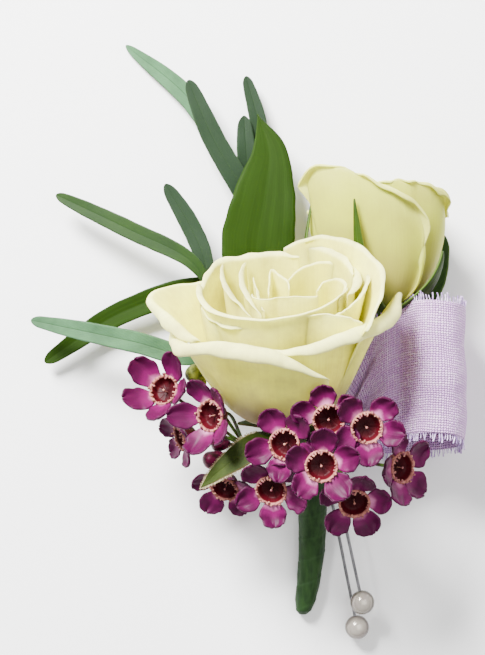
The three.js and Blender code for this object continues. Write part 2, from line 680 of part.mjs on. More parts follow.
group.add(node("bud_petals", "bud", budPetals()));
const budStem = [
  ...bundled(THIN_STEM_END, BUNDLE_R, -8),
  at(2.9, 10.4, 9.6),
  at(7.5, 18, 9.8),
  at(13.2, 25, 12.6),
  at(15.6, 28.4, 13.5),
];
const BUD_SEPALS = [
  { turn: 248, tall: 27, wide: 2.4, leans: [84, 60, 30, 8, 2, 0] },
  { turn: 188, tall: 30, wide: 2.2, leans: [84, 64, 38, 14, 4, -4] },
  { turn: 328, tall: 17, wide: 2.8, leans: [86, 80, 50, 20, 0] },
  { turn: 50, tall: 22, wide: 2.4, leans: [88, 70, 38, 14, 8, 2] },
  { turn: 120, tall: 22, wide: 2.4, leans: [88, 70, 38, 14, 8, 2] },
];
const budLeaf = leaf({ spine: [at(13.4, 25.2, 12.4), at(20, 29, 8), at(25.4, 37, 5), at(26.6, 46, 4.4)], half: 3.2 });
const budCalyx = calyx(bud, BUD_SEPALS, budStem, STEM_R);
group.add(node("bud_calyx_and_stem", "calyx", joined([budCalyx, budLeaf])));

const eucalyptusLeft = joined([
  stem([...bundled(THIN_STEM_END, BUNDLE_R, 196), at(-6, 12, 9.4), at(-13, 24, 8.6), at(-21, 37, 9)], STEM_R),
  leaf({ spine: [at(-20.6, 36.4, 9), at(-22, 43, 9), at(-24.9, 49.6, 8.4), at(-29.8, 57.6, 8)], half: 2.3 }),
  leaf({ spine: [at(-20.4, 36.4, 9), at(-24.6, 41.8, 10), at(-37, 48.1, 9), at(-52.4, 55.5, 6)], half: 2.2 }),
  leaf({ spine: [at(-14, 26, 8.7), at(-24, 22.4, 12), at(-36, 25.2, 12.4), at(-57.2, 29.6, 10)], half: 2.2 }),
]);
group.add(node("eucalyptus_sprig_left", "eucalyptus", eucalyptusLeft));

const eucalyptusTop = joined([
  stem([...bundled(THIN_STEM_END, BUNDLE_R, 284), at(0, 10, 8.2), at(-8, 32, 2.8), at(-11.2, 56, 3.6)], STEM_R),
  leaf({ spine: [at(-9.4, 42, 3), at(-14, 57, 2.4), at(-24, 75.4, 1.6), at(-38.3, 87.1, 0.35)], half: 2.4 }),
  leaf({ spine: [at(-10.2, 46, 3.2), at(-13.4, 55.3, 6), at(-20.2, 67.7, 6.6), at(-25.1, 79.2, 6)], half: 2.7 }),
  leaf({ spine: [at(-11, 54, 3.6), at(-10, 64, 3.8), at(-10.7, 71, 4), at(-13.2, 80.3, 3.4)], half: 1.8 }),
  leaf({ spine: [at(-11, 54.6, 3.6), at(-12.6, 60, 4.6), at(-13.2, 66, 5), at(-13.6, 72, 4.6)], half: 2 }),
]);
group.add(node("eucalyptus_sprig_top", "eucalyptus", eucalyptusTop));

const RUSCUS_SHAPE = [0.2, 0.66, 0.94, 1, 0.94, 0.8, 0.6, 0.34, 0.05];
const ruscus = joined([
  stem([...bundled(THIN_STEM_END, BUNDLE_R, 240), at(-3.6, 13, 8), at(-8, 23, 6.6), at(-10.8, 32.4, 7)], STEM_R),
  leaf({
    spine: [at(-10.6, 31, 7), at(-10.9, 44, 8.6), at(-9.2, 56, 9.2), at(-8.4, 64, 9), at(-10.8, 71.9, 8.4)],
    half: 7.4,
    shape: RUSCUS_SHAPE,
    cells: 10,
  }),
  leaf({ spine: [at(-9, 28, 6.6), at(-20, 36, 5), at(-38, 31.6, 4.4), at(-55, 20.9, 3)], half: 2.5 }),
]);
group.add(node("ruscus_sprig", "ruscus", ruscus));

const leftSprig = waxflowerSprig({
  main: [...bundled(THIN_STEM_END, BUNDLE_R, 152), at(-3.4, 7.4, 12.4), LEFT_LOW_FORK, LEFT_FORK],
  flowers: LEFT_WAXFLOWERS,
  buds: WAXFLOWER_BUDS,
});
group.add(node("waxflower_sprig_left", "waxcup", leftSprig));
const frontSprig = waxflowerSprig({
  main: [...bundled(THIN_STEM_END, BUNDLE_R, 90), at(0.8, 6, 15.6), FRONT_FORK],
  flowers: FRONT_WAXFLOWERS,
});
group.add(node("waxflower_sprig_front", "waxcup", frontSprig));
allWaxflowerPetals().forEach((petals, k) => {
  group.add(node(`waxflower_${String(k + 1).padStart(2, "0")}_petals`, "waxflower", petals));
});

group.add(node("ribbon_loop", "ribbon", ribbonLoop()));
group.add(node("floral_tape_wrap", "tape", tapeWrap(PINS)));
PINS.forEach((pin, k) => {
  group.add(node(`pin_${k + 1}_shaft`, "steel", pinRod(pin, PIN_R, PIN_LENGTH, 8)));
  group.add(node(`pin_${k + 1}_pearl`, "pearl", pearl(pin)));
});

// The origin is under the middle of the whole, on the table.
const whole = new THREE.Box3().setFromObject(group);
const middle = whole.getCenter(new THREE.Vector3());
group.position.set(-middle.x, -middle.y, -whole.min.z);

export default group;
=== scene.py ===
"""The looks of a boutonniere lying on its back: roses, waxflowers, leaves, a frayed ribbon, tape and pins.

Sizes and places are in millimetres from the binding point, where the tape gathers the stems. X runs to the
right, Y from the stem's end towards the leaf tips and Z away from the table. They repeat the solids' sizes.
"""

import logging
import math
from dataclasses import dataclass, field
from enum import Enum, IntEnum
from functools import partial
from typing import Any, Sequence

import bpy
import numpy as np
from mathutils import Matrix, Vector


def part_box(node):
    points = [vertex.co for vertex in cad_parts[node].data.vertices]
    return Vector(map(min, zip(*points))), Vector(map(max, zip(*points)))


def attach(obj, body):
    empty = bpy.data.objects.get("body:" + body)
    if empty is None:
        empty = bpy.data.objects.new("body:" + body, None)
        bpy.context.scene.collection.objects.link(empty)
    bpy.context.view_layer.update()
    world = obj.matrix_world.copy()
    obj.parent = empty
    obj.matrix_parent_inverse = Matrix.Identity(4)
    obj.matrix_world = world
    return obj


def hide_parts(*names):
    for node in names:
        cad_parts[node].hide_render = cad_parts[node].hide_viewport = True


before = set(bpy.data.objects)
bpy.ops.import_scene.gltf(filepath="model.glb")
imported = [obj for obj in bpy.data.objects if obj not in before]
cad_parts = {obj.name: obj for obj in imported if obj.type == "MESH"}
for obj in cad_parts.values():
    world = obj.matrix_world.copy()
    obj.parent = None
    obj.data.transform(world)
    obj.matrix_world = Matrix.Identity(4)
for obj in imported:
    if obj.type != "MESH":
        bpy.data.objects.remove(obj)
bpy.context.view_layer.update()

logging.basicConfig(level=logging.INFO, format="%(message)s")
log = logging.getLogger("boutonniere")

Grid = np.ndarray  # rows by columns by three, in millimetres
Place = tuple[float, float, float]

# Driving dimensions, as in the solids
STEM_R = 0.35
ROSE_STEM_R = 0.9
BUNDLE_R = 1.7
GAP = 0.35
BORE_R = BUNDLE_R + STEM_R + GAP
TAPE_R = BORE_R + 0.5
COLLAR_R = 4.6
PIN_LENGTH = 36.0
PIN_R = 0.32
PEARL_R = 2.5
PEARL_PLACE = (9.9, -34.2, 2.9)  # of the lower pin, and what ties these measures to the frame

PEARL_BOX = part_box("pin_1_pearl")
SHIFT = np.array([(a + b) / 2 * 1000 for a, b in zip(*PEARL_BOX)]) - np.array(PEARL_PLACE)
SHIFT[2] = 0.0


class Layer(Enum):
    """Where a petal stands in its flower, from the outside in."""

    GUARD = 0
    CUP = 1
    HEART = 2


class Green(IntEnum):
    """Material slots of a waxflower sprig."""

    CUP = 0
    STAMEN = 1
    STEM = 2
    CLOSED_BUD = 3
    YOUNG_BUD = 4


def linear(code: str) -> tuple[float, float, float, float]:
    """Turns an sRGB hex colour to Blender's linear one.

    Args:
        code: Six hex digits.

    Returns:
        Red, green, blue and an alpha of one.
    """
    parts = [int(code[i : i + 2], 16) / 255 for i in (0, 2, 4)]
    red, green, blue = (c / 12.92 if c <= 0.04045 else ((c + 0.055) / 1.055) ** 2.4 for c in parts)
    return (red, green, blue, 1.0)


def unit(vectors: np.ndarray) -> np.ndarray:
    """Scales vectors along the last axis to length one."""
    return vectors / np.maximum(np.linalg.norm(vectors, axis=-1, keepdims=True), 1e-9)


def smoothstep(value: np.ndarray | float, low: float, high: float) -> np.ndarray:
    """Rises smoothly from 0 at low to 1 at high."""
    t = np.clip((np.asarray(value, float) - low) / (high - low), 0, 1)
    return t * t * (3 - 2 * t)


def knotted(knots: Sequence[float], t: np.ndarray) -> np.ndarray:
    """Reads evenly spaced knots joined by straight lines at t from 0 to 1."""
    return np.interp(np.clip(t, 0, 1), np.linspace(0, 1, len(knots)), knots)


def waves(t: np.ndarray, seed: int, counts: Sequence[float]) -> np.ndarray:
    """Adds sine waves of the given counts over t from 0 to 1, with seeded phases, to about one in height."""
    rng = np.random.default_rng(seed)
    return sum(np.sin(2 * np.pi * (n * t + rng.random())) for n in counts) / math.sqrt(len(counts))


def circle(sides: int) -> np.ndarray:
    """Gives evenly spaced turns once round, in radians."""
    return np.linspace(0, 2 * np.pi, sides, endpoint=False)


def travelled(line: np.ndarray) -> np.ndarray:
    """Gives how far each point of a line lies along it."""
    return np.concatenate([[0], np.cumsum(np.linalg.norm(np.diff(line, axis=0), axis=1))])


def put(name: str, data: bpy.types.ID) -> bpy.types.Object:
    """Makes an object of a mesh, lamp or camera and links it to the scene."""
    thing = bpy.data.objects.new(name, data)
    bpy.context.collection.objects.link(thing)
    return thing


def framed(place: Sequence[float]) -> list[float]:
    """Turns a place in millimetres to metres in the frame."""
    return [(a + s) / 1000 for a, s in zip(place, SHIFT)]


class Route:
    """A smooth curve through knots: a centripetal Catmull-Rom, as in the solids."""

    def __init__(self, knots: Sequence[Sequence[float]], even: bool = False, fine: int = 400) -> None:
        """Keeps the knots and measures the curve.

        Args:
            knots: The points it passes through.
            even: Whether the knots are uniform and not centripetal.
            fine: How many steps its length is measured in.
        """
        self.knots = np.asarray(knots, float)
        self.power = 0.0 if even else 0.5
        self.places = np.linspace(0, 1, fine + 1)
        gone = travelled(self.at(self.places))
        self.length = float(gone[-1])
        self.shares = gone / gone[-1]

    def at(self, t: np.ndarray | float) -> np.ndarray:
        """Gives the points at t, where each stretch between two knots takes an equal share of 0 to 1."""
        knots = self.knots
        count = len(knots)
        place = np.clip(np.asarray(t, float), 0, 1) * (count - 1)
        low = np.minimum(place.astype(int), count - 2)
        w = (place - low)[..., None]
        padded = np.vstack([2 * knots[0] - knots[1], knots, 2 * knots[-1] - knots[-2]])
        before, start, end, after = (padded[low + k] for k in range(4))
        stretches = ((before, start), (start, end), (end, after))
        gaps = [np.linalg.norm(b - a, axis=-1) ** self.power for a, b in stretches]
        first, middle, last = (np.maximum(g, 1e-9)[..., None] for g in gaps)
        leave = (start - before) / first - (end - before) / (first + middle) + (end - start) / middle
        reach = (end - start) / middle - (after - start) / (middle + last) + (after - end) / last
        leave, reach = leave * middle, reach * middle
        cubic = 2 * start - 2 * end + leave + reach
        square = -3 * start + 3 * end - 2 * leave - reach
        return start + leave * w + square * w**2 + cubic * w**3

    def along(self, s: np.ndarray | float) -> np.ndarray:
        """Gives the points at shares of the curve's length."""
        return self.at(np.interp(s, self.shares, self.places))

    def heading(self, s: np.ndarray | float) -> np.ndarray:
        """Gives the curve's direction at shares of its length."""
        step = 0.002
        s = np.asarray(s, float)
        return unit(self.along(np.clip(s + step, 0, 1)) - self.along(np.clip(s - step, 0, 1)))


def smooth_widths(widths: Sequence[float], t: np.ndarray, fine: int) -> np.ndarray:
    """Reads evenly spaced widths, joined by a smooth curve of fine points, at t from 0 to 1."""
    spots = np.linspace(0, 1, len(widths))
    line = Route([(s, w, 0) for s, w in zip(spots, widths)]).along(np.linspace(0, 1, fine))
    return np.interp(t, line[:, 0], line[:, 1])


@dataclass
class Heap:
    """Gathers shells, tubes and turned forms into one mesh, with the values that its materials read.

    across and along run from 0 to 1 over each part, tint is one random value for a part, and side is 1 on
    the face that a shell's normal points to and 0 on the other.
    """

    points: list[np.ndarray] = field(default_factory=list)
    faces: list[list[int]] = field(default_factory=list)
    slots: list[int] = field(default_factory=list)
    values: dict[str, list[np.ndarray]] = field(
        default_factory=lambda: {"across": [], "along": [], "tint": [], "side": []}
    )
    count: int = 0

    def add(
        self, points: np.ndarray, faces: list[list[int]], slot: int, **values: np.ndarray | float
    ) -> None:
        """Adds one part.

        Args:
            points: Its vertices, N by 3, in millimetres.
            faces: Its faces, by index into points.
            slot: The material slot of its faces.
            **values: The attribute values, one for each vertex or one for all.
        """
        for name, kept in self.values.items():
            kept.append(np.broadcast_to(np.asarray(values.get(name, 0.0), float), (len(points),)))
        self.points.append(points)
        self.faces.extend([[i + self.count for i in face] for face in faces])
        self.slots.extend([slot] * len(faces))
        self.count += len(points)

    def shell(
        self, grid: Grid, thickness: np.ndarray | float, tint: float = 0.0, edge: float = 0.35
    ) -> None:
        """Adds a thin closed shell round a surface.

        Args:
            grid: The surface's points, with rows along it and columns across.
            thickness: Its thickness, one value or one for each point.
            tint: The part's random value.
            edge: The share of the thickness that is left at the shell's borders.
        """
        rows, columns = grid.shape[:2]
        out = unit(np.cross(np.gradient(grid, axis=1), np.gradient(grid, axis=0)))
        thick = np.broadcast_to(np.asarray(thickness, float), (rows, columns)).copy()
        thick[[0, -1], :] *= edge
        thick[1:-1, [0, -1]] *= edge
        halves = [grid + out * thick[..., None] / 2, grid - out * thick[..., None] / 2]
        points = np.concatenate([half.reshape(-1, 3) for half in halves])
        index = np.arange(rows * columns).reshape(rows, columns)
        a, b, c, d = index[:-1, :-1], index[:-1, 1:], index[1:, 1:], index[1:, :-1]
        top = np.stack([a, b, c, d], -1).reshape(-1, 4)
        bottom = top[:, ::-1] + index.size
        border = np.concatenate([index[0, :], index[1:, -1], index[-1, -2::-1], index[-2:0:-1, 0]])
        below = border + index.size
        walls = np.stack([border, below, np.roll(below, -1), np.roll(border, -1)], -1)
        faces = np.concatenate([top, bottom, walls]).tolist()
        across = np.tile(np.linspace(0, 1, columns), rows)
        along = np.repeat(np.linspace(0, 1, rows), columns)
        side = np.repeat([1.0, 0.0], index.size)
        across, along = (np.tile(share, 2) for share in (across, along))
        self.add(points, faces, 0, across=across, along=along, tint=tint, side=side)

    def rings(self, grid: Grid, tint: float = 0.0, slot: int = 0) -> None:
        """Adds a closed skin of rings, each row of the grid one ring, with both ends capped."""
        rows, columns = grid.shape[:2]
        index = np.arange(rows * columns).reshape(rows, columns)
        turned = np.roll(index, -1, axis=1)
        skin = np.stack([index[:-1], turned[:-1], turned[1:], index[1:]], -1).reshape(-1, 4).tolist()
        points = np.concatenate([grid.reshape(-1, 3), [grid[0].mean(0), grid[-1].mean(0)]])
        first, last = rows * columns, rows * columns + 1
        caps = [[first, turned[0, k], index[0, k]] for k in range(columns)]
        caps += [[last, index[-1, k], turned[-1, k]] for k in range(columns)]
        faces = skin + [[int(i) for i in cap] for cap in caps]
        across = np.append(np.tile(np.arange(columns) / columns, rows), [0, 0])
        along = np.append(np.repeat(np.linspace(0, 1, rows), columns), [0, 1])
        self.add(points, faces, slot, across=across, along=along, tint=tint, side=1.0)

    def tube(
        self, line: np.ndarray, radius: np.ndarray | float, sides: int = 10, tint: float = 0.0, slot: int = 0
    ) -> None:
        """Adds a round rod along a line of points, with one radius or one for each point."""
        ahead = unit(np.gradient(line, axis=0))
        right = np.zeros_like(ahead)
        guide = np.array([0.0, 0.0, 1.0]) if abs(ahead[0][2]) < 0.9 else np.array([1.0, 0.0, 0.0])
        for k, way in enumerate(ahead):
            guide = unit(guide - way * np.dot(guide, way))
            right[k] = guide
        front = np.cross(ahead, right)
        turns = circle(sides)[None, :, None]
        reach = np.broadcast_to(np.asarray(radius, float), (len(line),))[:, None, None]
        ring = right[:, None] * np.cos(turns) + front[:, None] * np.sin(turns)
        self.rings(line[:, None] + reach * ring, tint, slot)

    def build(self, name: str, materials: Sequence[bpy.types.Material]) -> bpy.types.Object:
        """Makes the object, in metres and in the frame.

        Args:
            name: The piece's name.
            materials: Its material slots in order.

        Returns:
            The object, linked to the scene, with smooth faces.
        """
        points = (np.concatenate(self.points) + SHIFT) / 1000
        mesh = bpy.data.meshes.new(name)
        mesh.from_pydata(points.tolist(), [], self.faces)
        for label, parts in self.values.items():
            attribute = mesh.attributes.new(label, "FLOAT", "POINT")
            attribute.data.foreach_set("value", np.concatenate(parts).astype(np.float32))
        for material in materials:
            mesh.materials.append(material)
        mesh.polygons.foreach_set("material_index", self.slots)
        mesh.polygons.foreach_set("use_smooth", [True] * len(mesh.polygons))
        mesh.update()
        return put(name, mesh)


def settle(piece: bpy.types.Object, slot: str, *nodes: str) -> bpy.types.Object:
    """Lets a piece ride with the part and stand for solids.

    Args:
        piece: The finished piece.
        slot: The record's material slot, which is not used.
        *nodes: The solids it stands for.

    Returns:
        The piece.
    """
    if nodes:
        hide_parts(*nodes)
    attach(piece, "root")
    log.info("%s: %d faces", piece.name, len(piece.data.polygons))
    return piece


def add_node(
    tree: bpy.types.NodeTree,
    kind: str,
    links: dict[Any, Any] | None = None,
    stops: Sequence[tuple[float, str | float]] = (),
    out: int | str = 0,
    **settings: Any,
) -> Any:
    """Adds a node to a tree.

    Args:
        tree: A shader or geometry tree.
        kind: The node's type.
        links: For inputs, by name or number, a socket to link from or a value to set. A string set on a
            colour input is a hex code. A tuple of sockets is joined.
        stops: For a colour ramp, its places with a hex code or a grey value each.
        out: The output that is given back.
        **settings: The node's own properties.

    Returns:
        The output socket, or all outputs if out is an empty string, or None where the node has none.
    """
    node = tree.nodes.new(kind)
    for name, value in settings.items():
        setattr(node, name, value)
    for key, value in (links or {}).items():
        socket = node.inputs[key]
        joins = isinstance(value, tuple) and isinstance(value[0], bpy.types.NodeSocket)
        for source in value if joins else (value,):
            if isinstance(source, bpy.types.NodeSocket):
                tree.links.new(source, socket)
            else:
                socket.default_value = linear(source) if socket.type == "RGBA" else source
    if stops:
        ramp = node.color_ramp
        ramp.interpolation = "EASE"
        while len(ramp.elements) < len(stops):
            ramp.elements.new(0.5)
        for element, (place, shade) in zip(ramp.elements, stops):
            element.position = place
            element.color = linear(shade) if isinstance(shade, str) else (shade, shade, shade, 1.0)
    if out == "":
        return node.outputs
    return node.outputs[out] if node.outputs else None


class Finish:
    """A material being put together: its tree, the attributes that it reads and what is wired last."""

    def __init__(self, name: str, *reads: str) -> None:
        """Opens an empty tree with the object's coordinates.

        Args:
            name: The material's name.
            *reads: The mesh attributes that it reads, whose values are kept in order.
        """
        self.material = bpy.data.materials.new(name)
        self.material.use_nodes = True
        self.material.node_tree.nodes.clear()
        self.place = self.node("TexCoord", out="Object")
        self.values = [self.node("Attribute", out="Fac", attribute_name=label) for label in reads]

    def node(self, kind: str, *given: Any, **settings: Any) -> Any:
        """Adds a shader node, by the last part of its type's name, as add_node does."""
        return add_node(self.material.node_tree, "ShaderNode" + kind, *given, **settings)

    def off_middle(self, across: Any) -> Any:
        """Gives the distance off the middle line, which is 0.5 at both borders."""
        centred = self.node("Math", {0: across, 1: 0.5}, operation="SUBTRACT")
        return self.node("Math", {0: centred}, operation="ABSOLUTE")

    def streaks(self, across: Any, count: float, along: Any, patches: float, detail: float) -> Any:
        """Gives noise drawn out in streaks from foot to tip.

        Args:
            across: The share of the width.
            count: Streaks over the width.
            along: The share of the length.
            patches: Patches over the length.
            detail: The noise's detail.

        Returns:
            The noise's socket.
        """
        ways = (
            self.node("Math", {0: share, 1: times}, operation="MULTIPLY")
            for share, times in ((across, count), (along, patches))
        )
        fan = self.node("CombineXYZ", dict(enumerate(ways)))
        return self.node("TexNoise", {"Vector": fan, "Scale": 1.0, "Detail": detail})

    def lines(self, run: Any, width: float, strength: float) -> Any:
        """Gives a line of some width and strength at each whole number of a run."""
        near = self.node("Math", {0: run, 1: 0.5}, operation="PINGPONG")
        band = {"Value": near, "From Max": width, "To Min": strength, "To Max": 0.0}
        return self.node("MapRange", band)

    def done(
        self,
        height: Any,
        depth: float,
        colour: Any,
        roughness: Any,
        gloss: float = 0.5,
        glow: tuple[float, Place, float] | None = None,
        **surface: Any,
    ) -> bpy.types.Material:
        """Adds the relief and the surface shader.

        Args:
            height: The relief's socket.
            depth: How deep the relief is, in metres.
            colour: A socket, or the hex code of one colour all over.
            roughness: A number or a socket.
            gloss: The specular level.
            glow: How much of the light goes in and out again, how far red, green and blue reach in it, and
                their scale.
            **surface: Other inputs of the shader, with underscores for spaces.

        Returns:
            The material.
        """
        relief = self.node("Bump", {"Height": height, "Distance": depth, "Strength": 1.0})
        links = {name.replace("_", " "): value for name, value in surface.items()}
        links |= {"Base Color": colour, "Roughness": roughness}
        links |= {"Specular IOR Level": gloss, "Normal": relief}
        if glow:
            links |= zip(("Subsurface Weight", "Subsurface Radius", "Subsurface Scale"), glow)
        self.node("OutputMaterial", {"Surface": self.node("BsdfPrincipled", links)})
        return self.material


@dataclass(frozen=True)
class RosePetalTissue:
    """Petal of an ivory rose: soft, matte and a little translucent, so light glows between the petals.

    The pigment is thin at the rim, which is nearly white, and yellow-green towards the foot.
    """

    name: str = "ivory rose petal"
    rim: str = "FBFB98"
    body: str = "F8F464"
    # Darker beige of the outside's lower body: painted shade, and also the colour of the blotches and faint
    # veins
    shade_and_blotch: str = "94805A"
    foot: str = "A0924C"
    inner: str = "F6EE28"

    # Counts in a metre: patches of 11 mm, clouds of 9 mm and cells of 0.4 mm, coarser than real ones
    patches, clouds, cells = 90.0, 110.0, 2600.0
    veins = 60.0  # across a petal

    def make(self) -> bpy.types.Material:
        """Returns the material."""
        m = Finish(self.name, "along", "across", "side")
        along, across, side = m.values
        patch = m.node("TexNoise", {"Vector": m.place, "Scale": self.patches, "Detail": 2.0})
        climb = m.node("Math", {0: patch, 1: 0.2, 2: along}, operation="MULTIPLY_ADD")
        # The outside's second stop paints shade on the lower body, in the darker beige that the blotches and
        # faint veins also take
        outside = ((0.12, self.foot), (0.36, self.shade_and_blotch), (0.64, self.body), (0.9, self.rim))
        inside = ((0.2, self.foot), (0.44, self.inner), (0.66, self.body), (0.92, self.rim))
        front, back = (m.node("ValToRGB", {"Fac": climb}, stops) for stops in (outside, inside))
        veins = m.streaks(across, self.veins, along, 4.0, 2.0)
        faint = m.node("MapRange", {"Value": veins, "From Min": 0.4, "From Max": 0.75, "To Max": 0.09})
        soft = {"Vector": m.place, "Scale": self.clouds, "Detail": 4.0, "Roughness": 0.6}
        cloud = m.node("TexNoise", soft)
        blotch = m.node("MapRange", {"Value": cloud, "From Min": 0.4, "From Max": 0.7, "To Max": 0.5})
        colour = back
        for amount, shade in ((side, front), (faint, self.shade_and_blotch), (blotch, self.shade_and_blotch)):
            colour = m.node("Mix", {0: amount, 6: colour, 7: shade}, out=2, data_type="RGBA")
        grain = m.node("TexNoise", {"Vector": m.place, "Scale": self.cells, "Detail": 2.0})
        height = m.node("Math", {0: grain, 1: 0.25, 2: veins}, operation="MULTIPLY_ADD")
        return m.done(height, 0.00006, colour, 0.55, gloss=0.12, glow=(0.5, (1.0, 0.94, 0.66), 0.002))


@dataclass(frozen=True)
class GreenTissue:
    """Leaf, sepal or green stem: a waxy skin over green tissue, with a midrib and faint side veins.

    shades are the colours of a leaf seen from its face, of a younger one and of one seen from its back.
    """

    name: str
    shades: tuple[str, str, str]
    dark: str
    rib: str
    edge: str
    roughness: float
    veins: float
    slant: float
    margin: float
    half_rib: float = 0.03

    # Counts in a metre: mottles of 5.6 mm and pores of 0.3 mm, coarser than real ones
    mottles, pores = 180.0, 3000.0

    def make(self) -> bpy.types.Material:
        """Returns the material."""
        m = Finish(self.name, "along", "across", "tint")
        along, across, tint = m.values
        off = m.off_middle(across)
        colour = m.node("ValToRGB", {"Fac": tint}, tuple(zip((0.0, 0.5, 1.0), self.shades)))
        patch = m.node("TexNoise", {"Vector": m.place, "Scale": self.mottles, "Detail": 4.0})
        mottle = m.node("MapRange", {"Value": patch, "From Min": 0.42, "From Max": 0.7, "To Max": 0.5})
        run = m.node("Math", {0: along, 1: self.veins}, operation="MULTIPLY")
        run = m.node("Math", {0: off, 1: -self.slant, 2: run}, operation="MULTIPLY_ADD")
        vein = m.lines(run, 0.14, 0.16)
        middle = {"From Min": self.half_rib / 3, "From Max": self.half_rib, "To Min": 0.6, "To Max": 0.0}
        outer = {"From Min": 0.5 - self.margin, "From Max": 0.495, "To Max": 0.65}
        rib, border = (m.node("MapRange", {"Value": off, **band}) for band in (middle, outer))
        layers = ((mottle, self.dark), (vein, self.rib), (rib, self.rib), (border, self.edge))
        for amount, shade in layers:
            colour = m.node("Mix", {0: amount, 6: colour, 7: shade}, out=2, data_type="RGBA")
        pores = m.node("TexNoise", {"Vector": m.place, "Scale": self.pores, "Detail": 2.0})
        height = m.node("Math", {0: rib, 1: vein}, operation="ADD")
        height = m.node("Math", {0: height, 1: -1.0, 2: pores}, operation="MULTIPLY_ADD")
        glow = (0.1, (0.5, 1.0, 0.25), 0.0006)
        return m.done(height, 0.00005, colour, self.roughness, gloss=0.1, glow=glow)


@dataclass(frozen=True)
class LongVeinedLeaf:
    """Ruscus leaf: tough and half glossy, with fine veins that all run lengthwise from foot to tip."""

    name: str = "ruscus leaf"
    face: str = "20340A"
    dark: str = "192B05"
    line: str = "283E10"

    # Counts across the leaf
    bands, fine_veins, broad_veins = 9.0, 24.0, 6.0

    def make(self) -> bpy.types.Material:
        """Returns the material."""
        m = Finish(self.name, "along", "across")
        along, across = m.values
        bands = m.streaks(across, self.bands, along, 1.6, 3.0)
        lean = m.node("Math", {0: across, 1: 0.25, 2: bands}, operation="MULTIPLY_ADD")
        colour = m.node("ValToRGB", {"Fac": lean}, ((0.4, self.face), (0.95, self.dark)))
        ridges = []
        for count, width, strength in ((self.fine_veins, 0.2, 0.12), (self.broad_veins, 0.1, 0.1)):
            run = m.node("Math", {0: across, 1: count}, operation="MULTIPLY")
            ridge = m.lines(run, width, strength)
            colour = m.node("Mix", {0: ridge, 6: colour, 7: self.line}, out=2, data_type="RGBA")
            ridges.append(ridge)
        height = m.node("Math", dict(enumerate(ridges)), operation="ADD")
        return m.done(height, 0.00005, colour, 0.5, gloss=0.05, glow=(0.1, (0.5, 1.0, 0.2), 0.0006))


@dataclass(frozen=True)
class WaxPetalTissue:
    """Waxflower petal: small, thick and waxy, magenta with a pinkish white foot, and darker towards its
    borders and tip as painted shade.
    """

    name: str = "waxflower petal"
    pale: str = "CC7CA6"
    face: str = "640748"
    deep: str = "42022E"
    # Colour of the painted shade along the borders and at the tip
    edge: str = "300222"

    patches = 420.0  # in a metre, so of 2.4 mm
    veins = 16.0  # across a petal

    def make(self) -> bpy.types.Material:
        """Returns the material."""
        m = Finish(self.name, "along", "across", "tint")
        along, across, tint = m.values
        off = m.off_middle(across)
        patch = m.node("TexNoise", {"Vector": m.place, "Scale": self.patches, "Detail": 3.0})
        climb = along
        # Climbing with the distance off the middle line paints shade towards the borders
        for source, share in ((off, 0.5), (patch, 0.3), (tint, 0.25)):
            climb = m.node("Math", {0: source, 1: share, 2: climb}, operation="MULTIPLY_ADD")
        colour = m.node("ValToRGB", {"Fac": climb}, ((0.26, self.pale), (0.6, self.face), (0.95, self.deep)))
        darker = m.node("Math", {0: tint, 1: 0.4}, operation="MULTIPLY")
        # sides and tip: painted shade along the borders and at the tip, in the edge colour
        sides = m.node("MapRange", {"Value": off, "From Min": 0.42, "From Max": 0.5, "To Max": 0.6})
        tip = m.node("MapRange", {"Value": along, "From Min": 0.9, "From Max": 1.0, "To Max": 0.6})
        rim = m.node("Math", {0: sides, 1: tip}, operation="MAXIMUM")
        veins = m.streaks(across, self.veins, along, 2.0, 1.0)
        faint = m.node("MapRange", {"Value": veins, "From Min": 0.5, "From Max": 0.75, "To Max": 0.15})
        for amount, shade in ((darker, self.deep), (rim, self.edge), (faint, self.deep)):
            colour = m.node("Mix", {0: amount, 6: colour, 7: shade}, out=2, data_type="RGBA")
        height = m.node("Math", {0: patch, 1: 0.8, 2: veins}, operation="MULTIPLY_ADD")
        return m.done(height, 0.00004, colour, 0.48, gloss=0.14, glow=(0.15, (1.0, 0.3, 0.8), 0.0008))


@dataclass(frozen=True)
class WaxCupSkin:
    """Waxflower cup: a leathery urn, green-brown outside, with a sticky crimson nectar disc inside."""

    name: str = "waxflower cup"
    outside: str = "3A3A12"
    blush: str = "4C1020"
    lip: str = "A86A60"
    nectar: str = "440812"
    heart: str = "2A040A"

    pits = 900.0  # in a metre, so of 1.1 mm
    grooves = 10.0  # round the cup

    def make(self) -> bpy.types.Material:
        """Returns the material."""
        m = Finish(self.name, "along", "across")
        along, across = m.values
        patch = m.node("TexNoise", {"Vector": m.place, "Scale": self.pits, "Detail": 3.0})
        skin = ((0.0, self.outside), (0.52, self.blush), (0.57, self.lip), (0.63, self.lip))
        disc = ((0.67, self.nectar), (0.95, self.heart))
        colour = m.node("ValToRGB", {"Fac": along}, (*skin, *disc))
        turns = m.node("Math", {0: across, 1: self.grooves}, operation="MULTIPLY")
        groove = m.lines(turns, 0.2, 0.3)
        # Painted shade: the colour darkens to the heart colour in the grooves that the relief cuts
        colour = m.node("Mix", {0: groove, 6: colour, 7: self.heart}, out=2, data_type="RGBA")
        shine = m.node("MapRange", {"Value": along, "From Min": 0.55, "To Min": 0.5, "To Max": 0.42})
        height = m.node("Math", {0: groove, 1: -1.0, 2: patch}, operation="MULTIPLY_ADD")
        return m.done(height, 0.00012, colour, shine, gloss=0.09)


@dataclass(frozen=True)
class PlainTissue:
    """Small plant part of one colour with mottling: a stamen, style, stem, thread or closed bud.

    grain is the count of mottles in a metre.
    """

    name: str
    face: str
    shade: str
    roughness: float = 0.5
    grain: float = 900.0

    def make(self) -> bpy.types.Material:
        """Returns the material."""
        m = Finish(self.name)
        patch = m.node("TexNoise", {"Vector": m.place, "Scale": self.grain, "Detail": 3.0})
        colour = m.node("ValToRGB", {"Fac": patch}, ((0.35, self.shade), (0.65, self.face)))
        return m.done(patch, 0.0001, colour, self.roughness, gloss=0.15)


